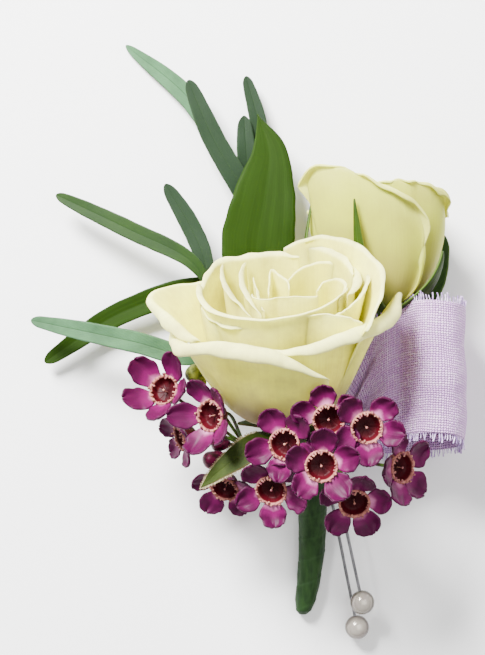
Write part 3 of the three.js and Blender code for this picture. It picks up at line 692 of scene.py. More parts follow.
@dataclass(frozen=True)
class WovenSilk:
    """Ribbon of raw silk in a plain weave: slubby lilac threads over and under each other, softly shining.

    width and length are the ribbon's, and thread is the spacing of its threads, all in millimetres. The
    spacing is a little over the real one so that it shows.
    """

    width: float
    length: float
    name: str = "lilac woven silk"
    warp: str = "CE9CD8"
    weft: str = "DCACE2"
    slub: str = "F6DCF8"
    # Colour of the painted shade seen through the open weave between threads
    gap_shade: str = "5A3272"
    thread: float = 0.52

    drifts = 240.0  # in a metre: the threads stray over about 4 mm
    stray = 1.3  # threads
    slow = 0.06  # how much a slub is drawn out along its thread

    def make(self) -> bpy.types.Material:
        """Returns the material."""
        m = Finish(self.name, "across", "along")
        drift = m.node("TexNoise", {"Vector": m.place, "Scale": self.drifts, "Detail": 2.0})
        wobble = m.node("Math", {0: drift, 1: self.stray}, operation="MULTIPLY")
        cells, swells, slows = [], [], []
        for share, size in zip(m.values, (self.width, self.length)):
            run = m.node("Math", {0: share, 1: size / self.thread, 2: wobble}, operation="MULTIPLY_ADD")
            cells.append(m.node("Math", {0: run}, operation="FLOOR"))
            within = m.node("Math", {0: run}, operation="FRACT")
            within = m.node("Math", {0: within, 1: math.pi}, operation="MULTIPLY")
            swells.append(m.node("Math", {0: within}, operation="SINE"))
            slows.append(m.node("Math", {0: run, 1: self.slow}, operation="MULTIPLY"))
        cell = m.node("Math", {0: cells[0], 1: cells[1]}, operation="ADD")
        over = m.node("Math", {0: cell, 1: 1.0}, operation="PINGPONG")
        down = m.node("CombineXYZ", {0: cells[0], 1: slows[1]})
        sideways = m.node("CombineXYZ", {0: slows[0], 1: cells[1], 2: 7.0})
        warp_slubs, weft_slubs = (
            m.node("TexNoise", {"Vector": way, "Scale": 1.7, "Detail": 1.0}) for way in (down, sideways)
        )
        slubs = m.node("Mix", {0: over, 2: weft_slubs, 3: warp_slubs}, data_type="FLOAT")
        bright = m.node("MapRange", {"Value": slubs, "From Min": 0.45, "From Max": 0.7, "To Max": 0.7})
        swell, cover = (
            m.node("Math", dict(enumerate(swells)), operation=way) for way in ("MULTIPLY", "MAXIMUM")
        )
        # Where the threads leave holes, the colour goes to the dark gap colour: painted shade between the
        # threads
        open_weave = {"Value": cover, "From Min": 0.35, "From Max": 0.85, "To Min": 1.0, "To Max": 0.0}
        shaded_hole = m.node("MapRange", open_weave)
        colour = self.weft
        for amount, shade in ((over, self.warp), (bright, self.slub), (shaded_hole, self.gap_shade)):
            colour = m.node("Mix", {0: amount, 6: colour, 7: shade}, out=2, data_type="RGBA")
        height = m.node("Math", {0: slubs, 1: 0.6, 2: swell}, operation="MULTIPLY_ADD")
        return m.done(height, 0.00024, colour, 0.6, gloss=0.12, Sheen_Weight=0.06, Sheen_Roughness=0.35)


@dataclass(frozen=True)
class CrepeTape:
    """Floral tape: waxed crepe paper stretched round the stems, finely wrinkled along its winding."""

    name: str = "green floral tape"
    face: str = "284020"
    dark: str = "1E321A"
    # Lighter green of the painted highlight along each turn's raised lap
    fold: str = "2C4626"

    # Counts in a metre: creases of 0.9 mm drawn out to 4 mm, and patches of 4 mm
    creases, patches = (1100.0, 240.0, 1100.0), 260.0

    def make(self) -> bpy.types.Material:
        """Returns the material."""
        m = Finish(self.name, "tint")
        drawn = m.node("Mapping", {"Vector": m.place, "Scale": self.creases})
        crease = m.node("TexNoise", {"Vector": drawn, "Scale": 1.0, "Detail": 3.0})
        patch = m.node("TexNoise", {"Vector": m.place, "Scale": self.patches, "Detail": 3.0})
        shade = m.node("Math", {0: patch, 1: 0.6, 2: crease}, operation="MULTIPLY_ADD")
        colour = m.node("ValToRGB", {"Fac": shade}, ((0.55, self.dark), (1.0, self.face)))
        # Painted highlight: the colour lightens to the fold green where tint marks each turn's raised lap
        lap_highlight = m.node("Math", {0: m.values[0], 1: 0.3}, operation="MULTIPLY")
        colour = m.node("Mix", {0: lap_highlight, 6: colour, 7: self.fold}, out=2, data_type="RGBA")
        return m.done(crease, 0.00008, colour, 0.5, gloss=0.1)


@dataclass(frozen=True)
class PinSteel:
    """Pin shaft: nickel-plated drawn steel, bright, with faint lengthwise drawing lines."""

    name: str = "nickel-plated steel"
    face: str = "7A7A7C"
    dark: str = "626264"

    lines = (1600.0, 40.0, 1600.0)  # in a metre: 0.6 mm apart and 25 mm long, coarser than real ones

    def make(self) -> bpy.types.Material:
        """Returns the material."""
        m = Finish(self.name)
        drawn = m.node("Mapping", {"Vector": m.place, "Scale": self.lines})
        lines = m.node("TexNoise", {"Vector": drawn, "Scale": 1.0, "Detail": 2.0})
        colour = m.node("ValToRGB", {"Fac": lines}, ((0.3, self.dark), (0.7, self.face)))
        rough = m.node("MapRange", {"Value": lines, "To Min": 0.4, "To Max": 0.55})
        return m.done(lines, 0.000005, colour, rough, Metallic=0.6)


@dataclass(frozen=True)
class PearlLacquer:
    """Pin head: a plastic bead dipped in pearl lacquer, cream white, with a clear coat over a soft glow."""

    name: str = "pearl lacquer"
    face: str = "B6AEA2"
    # Dark colour of the painted shade round the bead's outline
    rim: str = "5C564C"
    blush: str = "8C7880"

    swirls = 420.0  # in a metre, so of 2.4 mm

    def make(self) -> bpy.types.Material:
        """Returns the material."""
        m = Finish(self.name)
        facing = m.node("LayerWeight", {"Blend": 0.35}, out="Facing")
        swirl = m.node("TexNoise", {"Vector": m.place, "Scale": self.swirls, "Detail": 3.0})
        # Painted shade: the colour darkens from the face colour to the rim colour as the surface turns away
        # towards the outline
        colour = m.node("ValToRGB", {"Fac": facing}, ((0.06, self.face), (0.44, self.rim)))
        faint = m.node("MapRange", {"Value": swirl, "From Min": 0.4, "From Max": 0.7, "To Max": 0.25})
        colour = m.node("Mix", {0: faint, 6: colour, 7: self.blush}, out=2, data_type="RGBA")
        coat = {"Coat_Weight": 0.25, "Coat_Roughness": 0.1}
        return m.done(swirl, 0.00003, colour, 0.2, gloss=0.2, Metallic=0.3, **coat)


@dataclass(frozen=True)
class Backdrop:
    """Plain pale floor of matte white card, with a fine tooth of about 1 mm."""

    name: str = "white card"
    tooth: float = 900.0  # in a metre

    def make(self) -> bpy.types.Material:
        """Returns the material."""
        m = Finish(self.name)
        tooth = m.node("TexNoise", {"Vector": m.place, "Scale": self.tooth, "Detail": 2.0})
        return m.done(tooth, 0.00002, "FFFFFF", 0.9, gloss=0.1)


@dataclass(frozen=True)
class Flower:
    """Where a flower stands, the way it points, and two directions across it."""

    foot: Place
    pointing: Place

    def axes(self) -> tuple[np.ndarray, np.ndarray, np.ndarray]:
        """Returns the flower's up, right and back."""
        up = unit(np.array(self.pointing, float))
        right = unit(np.array([1.0, 0, 0]) - up * up[0])
        return up, right, np.cross(up, right)

    def point(self, radius: np.ndarray, height: np.ndarray, turn: np.ndarray) -> np.ndarray:
        """Gives points by radius and height in millimetres and turn in radians."""
        up, right, back = self.axes()
        radius, height, turn = np.broadcast_arrays(radius, height, turn)
        flat = right * np.cos(turn)[..., None] + back * np.sin(turn)[..., None]
        return np.array(self.foot) + up * height[..., None] + flat * radius[..., None]

    def turned(
        self, profile: Sequence[tuple[float, float]], sides: int, rows: int, size: float = 1.0
    ) -> Grid:
        """Gives the rings of a solid of revolution.

        Args:
            profile: Radius and height along its outline, which is smoothed.
            sides: Points round it.
            rows: Rings along it.
            size: What the profile is scaled by.

        Returns:
            The rings' points.
        """
        line = Route([(r * size, h * size, 0.0) for r, h in profile]).along(np.linspace(0, 1, rows))
        return self.point(np.maximum(line[:, :1], 0.01), line[:, 1:2], circle(sides)[None, :])


BODY_SHARE = 2 / 3  # of a petal's length along, from the foot to the rim
CURL_STEPS = 12  # straight stretches that a petal's lip curls in
NEAR_RIM = 0.97  # share of the body just before the rim, which gives the slope there
PETAL_THICKNESS = 0.55
LEAF_THICKNESS = 0.5


@dataclass(frozen=True)
class Petal:
    """A rose petal, grown from the foot of the flower up to its rim, with its lip curled out.

    rim gives turn, radius and height at some places from side to side, with turns in degrees from the
    flower's right towards its back. lip is how much curls over there, and curl the degrees it turns.
    """

    rim: tuple[Place, ...]
    lip: tuple[float, ...]
    layer: Layer = Layer.GUARD
    curl: float = 110
    foot: float = 2.6
    bowl: float = 15.5
    tight: float = 1.0
    ruffle: float = 0.28
    swell: float = 0.18

    def surface(self, flower: Flower, seed: int, columns: int = 44, rows: int = 42) -> Grid:
        """Works out the petal's middle surface.

        Args:
            flower: Where the flower stands.
            seed: Sets its waves.
            columns: Points across.
            rows: Points along.

        Returns:
            The surface's points.
        """
        u = np.linspace(0, 1, columns)
        edge = Route(self.rim)
        turn, reach, tall = edge.at(u).T
        middle = edge.at(0.5)[0]
        v = np.linspace(0, 1, rows)[:, None]
        share = np.minimum(v / BODY_SHARE, 1)
        radius, height = self.on_body(reach, tall, share)
        past = np.clip((v - BODY_SHARE) / (1 - BODY_SHARE), 0, 1)
        before, below = self.on_body(reach, tall, NEAR_RIM)
        at_rim, top = self.on_body(reach, tall, 1.0)
        rise = np.arctan2(at_rim - before, top - below)
        length = knotted(self.lip, u)
        bend = math.radians(self.curl) * np.minimum(1, 0.45 + length / 4)
        for step in range(CURL_STEPS):
            place = past * (step + 0.5) / CURL_STEPS
            lean = rise + bend * np.minimum(place / self.tight, 1)
            radius = radius + np.sin(lean) * length * past / CURL_STEPS
            height = height + np.cos(lean) * length * past / CURL_STEPS
        rough = self.ruffle * (1, 0.5, 0.3)[self.layer.value] * smoothstep(v, 0.5, 1.0)
        radius = radius + rough * waves(u, seed, (1.7, 3.1, 5.3))
        height = height + 0.6 * rough * waves(u, seed + 50, (2.3, 4.4, 7.7))
        radius = radius + self.swell * np.sin(np.pi * share) * waves(u, seed + 90, (1.3, 2.6))
        spread = 0.85 + 0.15 * smoothstep(share, 0, 0.6)
        return flower.point(radius, height, np.radians(middle + (turn - middle) * spread))

    def on_body(
        self, reach: np.ndarray, tall: np.ndarray, share: np.ndarray | float
    ) -> tuple[np.ndarray, np.ndarray]:
        """Gives radius and height on the petal's bowl, before its lip."""
        quarter = share * np.pi / 2
        wide = np.minimum(reach, self.bowl)
        radius = self.foot + (wide - self.foot) * np.sin(quarter) ** 1.15 + (reach - wide) * share**5
        return radius, tall * (1 - np.cos(quarter))

    def add_to(self, heap: Heap, flower: Flower, seed: int) -> None:
        """Adds the petal's shell to a heap."""
        grid = self.surface(flower, seed)
        rows, columns = grid.shape[:2]
        v = np.linspace(0, 1, rows)[:, None]
        u = np.linspace(0, 1, columns)[None, :]
        thin = 1 - 0.45 * smoothstep(v, 0.7, 1) - 0.25 * smoothstep(np.abs(2 * u - 1), 0.8, 1)
        thin = thin * (1, 0.8, 0.7)[self.layer.value]
        tint = float(np.random.default_rng(seed).random())
        heap.shell(grid, PETAL_THICKNESS * thin, tint)


@dataclass
class RoseHead:
    """The petals of one rose round a solid heart that they stand out of."""

    name: str
    node: str
    slot: str
    flower: Flower
    petals: tuple[Petal, ...]
    core: tuple[tuple[float, float], ...]
    finish: RosePetalTissue
    seed: int

    def build(self) -> None:
        """Makes the petals as one piece."""
        heap = Heap()
        heap.rings(self.flower.turned(self.core, 40, 24), 0.5)
        for k, petal in enumerate(self.petals):
            petal.add_to(heap, self.flower, self.seed + k)
        settle(heap.build(self.name, [self.finish.make()]), self.slot, self.node)


ROSE = Flower((-5.8, 10.5, 18.5), (-0.05, 0.866, 0.5))
BUD = Flower((15.2, 32.6, 13.6), (-0.09, 0.995, 0.02))

ROSE_PETALS = (
    Petal(
        ((122, 15.5, 23), (150, 18.5, 25.5), (173, 24.6, 26.6), (186, 20, 24), (200, 16, 20.5)),
        (0.5, 0.8, 1.5, 4, 2.5),
        curl=170,
        foot=3.4,
    ),
    Petal(
        ((174, 20.5, 19.6), (199, 18.6, 20.6), (228, 13.8, 22.2), (268, 13.2, 21.6), (306, 15.6, 15.6)),
        (1.5, 4.6, 6, 5.4, 0.6),
        curl=190,
        foot=3.8,
    ),
    Petal(
        ((262, 11.6, 21.6), (296, 13, 22.2), (325, 15.4, 22.8), (346, 19.8, 23.8), (370, 24, 24.6)),
        (0.5, 4, 5.4, 5, 1.5),
        curl=180,
        foot=3.3,
        bowl=17,
    ),
    Petal(
        ((-34, 19.6, 25), (-16, 20.4, 28.6), (5, 20, 31), (34, 18.2, 32), (58, 16.8, 32), (84, 15.2, 29.3)),
        (0.5, 0.8, 1, 1, 1, 0.5),
        foot=3,
    ),
    Petal(
        (
            *((68, 12.4, 29.4), (90, 13.2, 29), (112, 14.2, 28.6)),
            *((134, 16.4, 28.4), (152, 15.6, 27.4), (172, 15.4, 26)),
        ),
        (0.5, 1, 1.3, 1.3, 0.8, 0.4),
        foot=3,
    ),
    Petal(
        (
            *((162, 15.4, 27.2), (205, 12.8, 27), (248, 9.8, 27)),
            *((300, 9, 27), (340, 10.8, 27), (366, 13.4, 27.2)),
        ),
        (1.4, 2.6, 1.8, 1.4, 1.4, 0.8),
        Layer.CUP,
    ),
    Petal(
        ((250, 8.6, 26), (300, 8.4, 26.2), (320, 11.4, 26.4), (328, 15.2, 26.2), (333, 18, 25)),
        (0.6, 1.2, 1.2, 0.8, 0.4),
        Layer.CUP,
    ),
    Petal(
        ((326, 13, 26.2), (333, 14.4, 27), (343, 15.6, 27.6), (357, 16.8, 28.2), (374, 18.2, 28.6)),
        (0.3, 0.8, 1.2, 1.2, 0.6),
        Layer.CUP,
    ),
    Petal(
        ((176, 15, 25.2), (200, 13.2, 24.8), (220, 11.2, 24.6), (236, 9.2, 24.8), (252, 7.4, 25.2)),
        (0.2, 0.8, 2.2, 1.8, 0.3),
        Layer.CUP,
        curl=140,
    ),
    Petal(
        (
            *((-4, 13.6, 27), (10, 15.2, 27.6), (26, 16.2, 28), (42, 15.8, 28)),
            *((56, 13.6, 27.8), (66, 10.4, 27.4), (71, 7, 27)),
        ),
        (1.6, 2.6, 1.6, 0.7, 0.5, 0.5, 0.4),
        Layer.CUP,
        curl=140,
    ),
    Petal(
        ((16, 15.6, 28.8), (33, 15.8, 29.3), (48, 15.8, 29.6), (64, 16, 29.6), (80, 16, 29)),
        (0.5, 1.4, 1.6, 1.2, 0.5),
        Layer.CUP,
    ),
    Petal(
        ((131, 16, 28.2), (146, 12.4, 27.6), (164, 9.4, 27), (194, 7.4, 26.6), (228, 7.6, 26)),
        (0.4, 1.7, 2.5, 1.8, 0.4),
        Layer.HEART,
        curl=100,
    ),
    Petal(
        ((116, 13.6, 28.2), (134, 9.4, 27.6), (164, 5.8, 27), (206, 5, 26.6), (240, 6.2, 26)),
        (0.4, 1.9, 2.4, 1.5, 0.3),
        Layer.HEART,
        curl=100,
    ),
    Petal(
        ((118, 9.6, 27), (128, 7, 27), (144, 4.6, 26.8), (190, 3.4, 26.6), (236, 4.4, 26)),
        (0.2, 0.8, 1, 0.6, 0.2),
        Layer.HEART,
        foot=1.6,
    ),
    Petal(
        ((62, 5, 26.2), (73, 7.2, 26.6), (86, 8.4, 27), (96, 10, 27.4), (103, 6.4, 26.8), (118, 3.4, 26)),
        (0.2, 0.4, 0.5, 0.6, 0.4, 0.2),
        Layer.HEART,
        foot=1.6,
    ),
    Petal(
        (
            *((-12, 12, 26.8), (2, 12.8, 27), (16, 13.6, 27.2)),
            *((27, 12.6, 27.1), (29, 10.6, 27), (20, 8.2, 26.4)),
        ),
        (0.6, 0.8, 0.8, 0.6, 0.4, 0.3),
        Layer.HEART,
        foot=1.8,
    ),
    Petal(
        ((160, 5, 27), (205, 4.2, 27.6), (270, 2.2, 28), (330, 4.6, 28), (352, 8, 27.4)),
        (0.3, 0.6, 0.6, 0.6, 0.3),
        Layer.HEART,
        foot=1.4,
    ),
)
ROSE_CORE = ((0, -1), (3.6, -0.6), (5.6, 1.2), (8.6, 5), (9.2, 9), (7.6, 15), (4.4, 20), (0, 23))

BUD_PETALS = (
    Petal(
        (
            *((110, 12, 15), (140, 13, 18.6), (165, 13.8, 20)),
            *((180, 13.8, 19.6), (196, 12.4, 19), (212, 11.2, 18)),
        ),
        (0.3, 0.5, 0.6, 0.6, 0.4, 0.3),
        foot=3.2,
    ),
    Petal(
        (
            *((189, 12.4, 16), (195, 13.4, 22), (194, 13.8, 25), (198, 13.7, 27), (212, 12.9, 28.2)),
            *((230, 12.4, 27.9), (244, 12.3, 27.1), (255, 12.2, 25.9), (266, 12.3, 24.3), (277, 12.4, 22.7)),
            *((288, 12.6, 20.8), (298, 12.8, 18.6), (306, 13.1, 16.4), (308, 13.1, 12.6), (304, 12, 8)),
        ),
        (0.5, 1.8, 2.6, 2.6, 1.5, 1, 0.8, 1, 1.6, 2.4, 3, 3.4, 2.8, 1, 0.2),
        curl=190,
        foot=3,
        ruffle=0.7,
        swell=0.6,
    ),
    Petal(
        (
            *((268, 11.3, 24.6), (281, 11.5, 24.4), (294, 11.7, 24.2), (306, 12.2, 23.6), (318, 12.8, 23)),
            *((329, 13.3, 22), (340, 13.6, 20), (354, 13.5, 17.6), (374, 12.9, 17), (400, 12.2, 18.4)),
        ),
        (0.5, 0.8, 0.7, 1, 1.6, 2.4, 3, 2.6, 1.6, 0.8),
        curl=170,
        tight=0.6,
        foot=3,
        ruffle=0.6,
        swell=0.4,
    ),
    Petal(
        ((34, 11.6, 19), (60, 12, 22), (90, 12, 23), (122, 12, 23), (150, 12, 21)),
        (0.5, 1, 1.4, 1, 0.5),
        foot=3,
    ),
    Petal(
        ((-46, 9.8, 21), (-16, 10, 22.4), (20, 10, 23), (60, 10, 22.8), (92, 9.6, 22)),
        (0.4, 0.8, 0.8, 0.8, 0.4),
        Layer.HEART,
    ),
    Petal(
        ((80, 8.6, 22), (120, 9, 23), (160, 9, 23.6), (196, 8.6, 23.6), (230, 8, 23)),
        (0.4, 0.8, 1, 0.8, 0.4),
        Layer.HEART,
    ),
    Petal(
        ((200, 7, 22), (250, 7, 22.6), (300, 7, 22.6), (350, 6.6, 22.4), (400, 5.8, 22)),
        (0.3, 0.7, 0.7, 0.7, 0.3),
        Layer.HEART,
        foot=2,
    ),
    Petal(
        ((20, 5, 21.6), (90, 4.6, 22.2), (160, 4, 22.4), (230, 3.4, 22.2), (300, 2.6, 21.8)),
        (0.3, 0.5, 0.5, 0.5, 0.3),
        Layer.HEART,
        foot=1.4,
    ),
)
BUD_CORE = ((0, -0.6), (2.6, -0.4), (5.6, 1.6), (8, 6), (7.4, 13), (4, 19), (0, 21.5))


class Bundle:
    """The stems' common way through the tape, from the binding to the end."""

    bends = (
        *((0.4, 6.4, 11.4), (0.4, 1.5, 9.6), (0.5, -5, 7.2), (0.6, -12, 4.2)),
        *((0.5, -18, 2.5), (-0.2, -25, 2.05), (-1.3, -31.6, 1.75)),
    )
    axis = Route(bends)
    thin_end = 0.6  # where the stems are cut, as shares of its length
    rose_end = 0.92

    @classmethod
    def point(
        cls, along: np.ndarray | float, off: np.ndarray | float, turn: np.ndarray | float
    ) -> np.ndarray:
        """Gives points by share of length, distance off the axis and degrees from the right to the front."""
        along, off, turn = np.broadcast_arrays(np.asarray(along, float), off, turn)
        ahead = cls.axis.heading(along)
        right = np.array([1.0, 0, 0])
        front = -np.cross(np.broadcast_to(right, ahead.shape), ahead)
        angle = np.radians(turn)[..., None]
        return cls.axis.along(along) + off[..., None] * (right * np.cos(angle) + unit(front) * np.sin(angle))

    @classmethod
    def stretch(cls, end: float, off: float, turn: float) -> list[np.ndarray]:
        """Gives the knots of a stem in the bundle, from its cut end up to the binding."""
        return [cls.point(share, off, turn) for share in np.linspace(end, 0.02, 5)]


def stem_line(knots: Sequence[Sequence[float]], step: float = 0.8) -> np.ndarray:
    """Gives evenly spaced points of a stem along a smooth route."""
    route = Route(knots)
    return route.along(np.linspace(0, 1, max(4, int(route.length / step))))


@dataclass(frozen=True)
class Leaf:
    """A leaf along a curve, folded a little along its midrib.

    half is half its width, outline the shares of that from foot to tip, and tint its place among its shades.
    """

    spine: tuple[Place, ...]
    half: float
    outline: tuple[float, ...] = (0.3, 0.7, 0.9, 0.99, 1, 0.97, 0.9, 0.74, 0.46)
    tint: float = 0.0
    up: Place = (0, 0, 1)
    fold: float = 0.12
    wave: float = 0.1

    def surface(self, seed: int, columns: int = 25, rows: int = 90) -> Grid:
        """Works out the leaf's middle surface, with a soft wave along its borders."""
        route = Route(self.spine)
        v = 1 - (1 - np.linspace(0, 1, rows)) ** 1.4
        centre, ahead = route.along(v), route.heading(v)
        side = unit(np.cross(ahead, np.array(self.up, float)))
        out = np.cross(side, ahead)
        width = self.half * smooth_widths(self.outline, v, 300)
        tip = np.clip((v - 1) * route.length / (0.9 * self.half) + 1, 0, 0.998)
        width = (width * np.sqrt(1 - tip**2))[:, None]
        share = np.linspace(-1, 1, columns)[None, :]
        wave = self.wave * waves(v, seed, (1.6, 2.9))[:, None] * np.abs(share) ** 2
        groove = 0.02 * np.exp(-((share / 0.09) ** 2))
        lift = self.fold * np.abs(share) * width + wave * width / self.half - groove
        across = share * width * (1 + 0.012 * waves(v, seed + 7, (4.0, 9.0)))[:, None]
        return centre[:, None] + side[:, None] * across[..., None] + out[:, None] * lift[..., None]

    def add_to(self, heap: Heap, seed: int) -> None:
        """Adds the leaf's shell to a heap."""
        heap.shell(self.surface(seed), LEAF_THICKNESS, self.tint)


@dataclass
class LeafSprig:
    """A sprig: a stem out of the bundle and the leaves on it."""

    name: str
    slot: str
    turn: float
    way: tuple[Place, ...]
    leaves: tuple[Leaf, ...]
    finish: GreenTissue | LongVeinedLeaf
    stalk: PlainTissue
    seed: int = 0

    def build(self) -> None:
        """Makes the sprig as one piece."""
        heap = Heap()
        line = stem_line([*Bundle.stretch(Bundle.thin_end, BUNDLE_R, self.turn), *self.way])
        heap.tube(line, STEM_R, 10, slot=1)
        for k, leaf in enumerate(self.leaves):
            leaf.add_to(heap, self.seed + k)
        piece = heap.build(self.name + "_leaves", [self.finish.make(), self.stalk.make()])
        settle(piece, self.slot, self.name)


SEPAL_OUTLINE = (0.7, 1, 0.95, 0.8, 0.6, 0.4, 0.24, 0.06)


@dataclass(frozen=True)
class Sepal:
    """A sepal from the top of the hip. leans are degrees from the flower's axis, from foot to tip."""

    turn: float
    tall: float
    wide: float
    leans: tuple[float, ...]

    def surface(self, flower: Flower, columns: int = 15, rows: int = 50) -> Grid:
        """Works out the sepal's middle surface."""
        v = np.linspace(0, 1, rows)
        leans = np.radians(knotted(self.leans, v))
        middles = (leans[1:] + leans[:-1]) / 2
        radius, height = (
            foot + self.tall * np.concatenate([[0], np.cumsum(steps)]) / (rows - 1)
            for foot, steps in ((2.2, np.sin(middles)), (-1.6, np.cos(middles)))
        )
        across = np.linspace(-1, 1, columns)[None, :]
        half = self.wide * knotted(SEPAL_OUTLINE, v)[:, None] * across
        reach = np.hypot(radius[:, None], half) - 0.12 * np.abs(half)
        turn = math.radians(self.turn) + np.arctan2(half, radius[:, None])
        return flower.point(reach, height[:, None], turn)


@dataclass
class Calyx:
    """What carries a rose: its hip, sepals, leaf and stem, grown as one."""

    name: str
    flower: Flower
    sepals: tuple[Sepal, ...]
    way: Sequence[Place | np.ndarray]
    radius: float
    leaf: Leaf
    finish: GreenTissue
    seed: int

    hip = ((0, -5.6), (1.2, -5.4), (2.3, -4.4), (2.6, -3), (2.2, -2.2), (3, -1.6), (3, -1.3), (0, -1.3))

    def build(self) -> bpy.types.Object:
        """Makes the calyx as one piece and returns it."""
        heap = Heap()
        heap.rings(self.flower.turned(self.hip, 24, 30), 0.2)
        heap.tube(stem_line(self.way), self.radius, 14, 0.3)
        for sepal in self.sepals:
            heap.shell(sepal.surface(self.flower), LEAF_THICKNESS, 0.4)
        self.leaf.add_to(heap, self.seed)
        piece = heap.build(self.name + "_green", [self.finish.make()])
        return settle(piece, "calyx_green", self.name)


PETAL_OUTLINE = (0.5, 0.76, 0.94, 1, 0.98, 0.9, 0.72, 0.24)


@dataclass(frozen=True)
class Waxflower:
    """One open waxflower: where its rim is, the way it faces, its turn and where its stalk leaves the sprig.

    close is how far its petals stand up, from 0, open, to 1.
    """

    rim: Place
    facing: Place
    roll: float
    fork: Place
    size: float = 1.0
    close: float = 0.0

    cup_deep = 3.8
    petal_half = 2.7
    petal_foot = 2.7
    petal_tip = 7.4

    def flower(self) -> Flower:
        """Returns its frame, which stands at the middle of the rim."""
        return Flower(self.rim, self.facing)

    def petal(self, k: int, seed: int, columns: int = 27, rows: int = 29) -> Grid:
        """Works out one petal: a round spoon with a narrower foot and an uneven border.

        Args:
            k: Which of the five.
            seed: Sets its small differences.
            columns: Points across.
            rows: Points along.

        Returns:
            The petal's middle surface.
        """
        rng = np.random.default_rng(seed * 10 + k)
        past = np.linspace(0, 1, rows) ** 0.9
        reach = self.petal_tip - self.petal_foot + rng.uniform(-0.3, 0.2)
        half = (self.petal_half + rng.uniform(-0.2, 0.15)) * smooth_widths(PETAL_OUTLINE, past, 200)
        half = half * (1 + 0.04 * waves(past, seed + k, (1.1, 2.4)))
        share = np.linspace(-1, 1, columns)[None, :]
        side = half[:, None] * share
        past = past[:, None]
        out = self.petal_foot + reach * past - 0.25 * share**2 * past**3
        lift = 0.06 + rng.uniform(-0.06, 0.3) + self.close
        spoon = 1.25 + rng.uniform(-0.2, 0.5)
        hollow = spoon * (side / self.petal_half) ** 2 + 0.9 * spoon * past**3
        tilt = side * rng.uniform(-0.3, 0.3) * past
        curl = 0.22 * waves(share, seed + k, (0.7, 1.3)) * past**2
        curl = curl + 0.16 * waves(past, seed + k + 40, (1.6, 2.7)) * np.abs(share) ** 3
        height = -0.3 + reach * past * lift + hollow * (0.35 + 0.65 * past) + tilt + curl
        turn = math.radians(self.roll + 36 + 72 * k + rng.uniform(-6, 6))
        bend = 0.12 * rng.uniform(-1, 1) * past
        spot = turn + np.arctan2(side, out) + bend
        return self.flower().point(np.hypot(out, side) * self.size, height * self.size, spot)

    def petals(self, heap: Heap, seed: int) -> None:
        """Adds the five petals to a heap."""
        rng = np.random.default_rng(seed)
        for k in range(5):
            heap.shell(self.petal(k, seed), 0.45 * self.size, rng.random(), edge=0.5)

    def cup(self, heap: Heap) -> None:
        """Adds the cup with its lip and nectar disc, and the style, to a heap."""
        flower, size = self.flower(), self.size
        outside = ((0, -3.8), (1.3, -3.75), (2.5, -2.2), (3.0, -0.6))
        lip = ((3.15, 0.1), (3.05, 0.32), (2.85, 0.3), (2.65, 0.0))
        disc = ((2.4, -0.7), (2.1, -1.2), (1.4, -1.4), (0.6, -1.5), (0, -1.6))
        grid = flower.turned((*outside, *lip, *disc), 60, 48, size)
        rows, columns = grid.shape[:2]
        share = np.linspace(0, 1, rows)[:, None]
        turn = circle(columns)[None, :]
        near_lip = np.exp(-(((share - 0.6) / 0.05) ** 2))
        teeth = waves(turn / (2 * np.pi), int(self.roll), (7, 13, 19))
        scallop = (0.2 * np.abs(np.sin(5 * turn + 0.4)) + 0.1 * teeth) * near_lip * size
        heap.rings(grid + flower.axes()[0] * scallop[..., None], slot=Green.CUP)
        style = np.array([flower.point(0.0, h * size, 0.0) for h in (-1.6, -1.1, -0.5, 0.0)])
        heap.tube(style, np.array([0.24, 0.13, 0.1, 0.1]) * size, 8, slot=Green.STAMEN)
        knob = ((0, -0.06), (0.2, 0), (0.26, 0.12), (0.16, 0.24), (0, 0.27))
        heap.rings(flower.turned(knob, 10, 8, size), slot=Green.STAMEN)

    def stalk(self, heap: Heap) -> None:
        """Adds the side stem from the fork to the back of the cup."""
        way = unit(np.array(self.facing, float))
        back = [np.array(self.rim) - way * (self.cup_deep * self.size + d) for d in (2.2, 0, -0.8)]
        heap.tube(stem_line([self.fork, *back]), STEM_R, 8, slot=Green.STEM)


@dataclass(frozen=True)
class ClosedBud:
    """A closed waxflower bud on its stalk."""

    tall = 4.4

    tip: Place
    fork: Place
    size: float = 1.0
    skin: Green = Green.CLOSED_BUD

    def add_to(self, heap: Heap) -> None:
        """Adds the stalk and the bud, with five lobes folded over its top."""
        tip, fork = np.array(self.tip), np.array(self.fork)
        way = unit(tip - fork)
        foot = tip - way * self.tall * self.size
        heap.tube(np.linspace(fork, foot, 8), STEM_R, 8, slot=Green.STEM)
        flower = Flower(tuple(foot), tuple(way))
        profile = ((0, -0.4), (0.7, 0), (1.4, 1.3), (1.75, 2.7), (1.45, 3.7), (0.7, 4.3), (0, self.tall))
        grid = flower.turned(profile, 30, 26, self.size)
        centre = grid.mean(1, keepdims=True)
        rows, columns = grid.shape[:2]
        folded = smoothstep(np.linspace(0, 1, rows), 0.3, 0.7)[:, None]
        lobes = 1 + 0.09 * np.abs(np.sin(2.5 * circle(columns)))[None, :] * folded
        heap.rings(centre + (grid - centre) * lobes[..., None], 0.4, slot=self.skin)


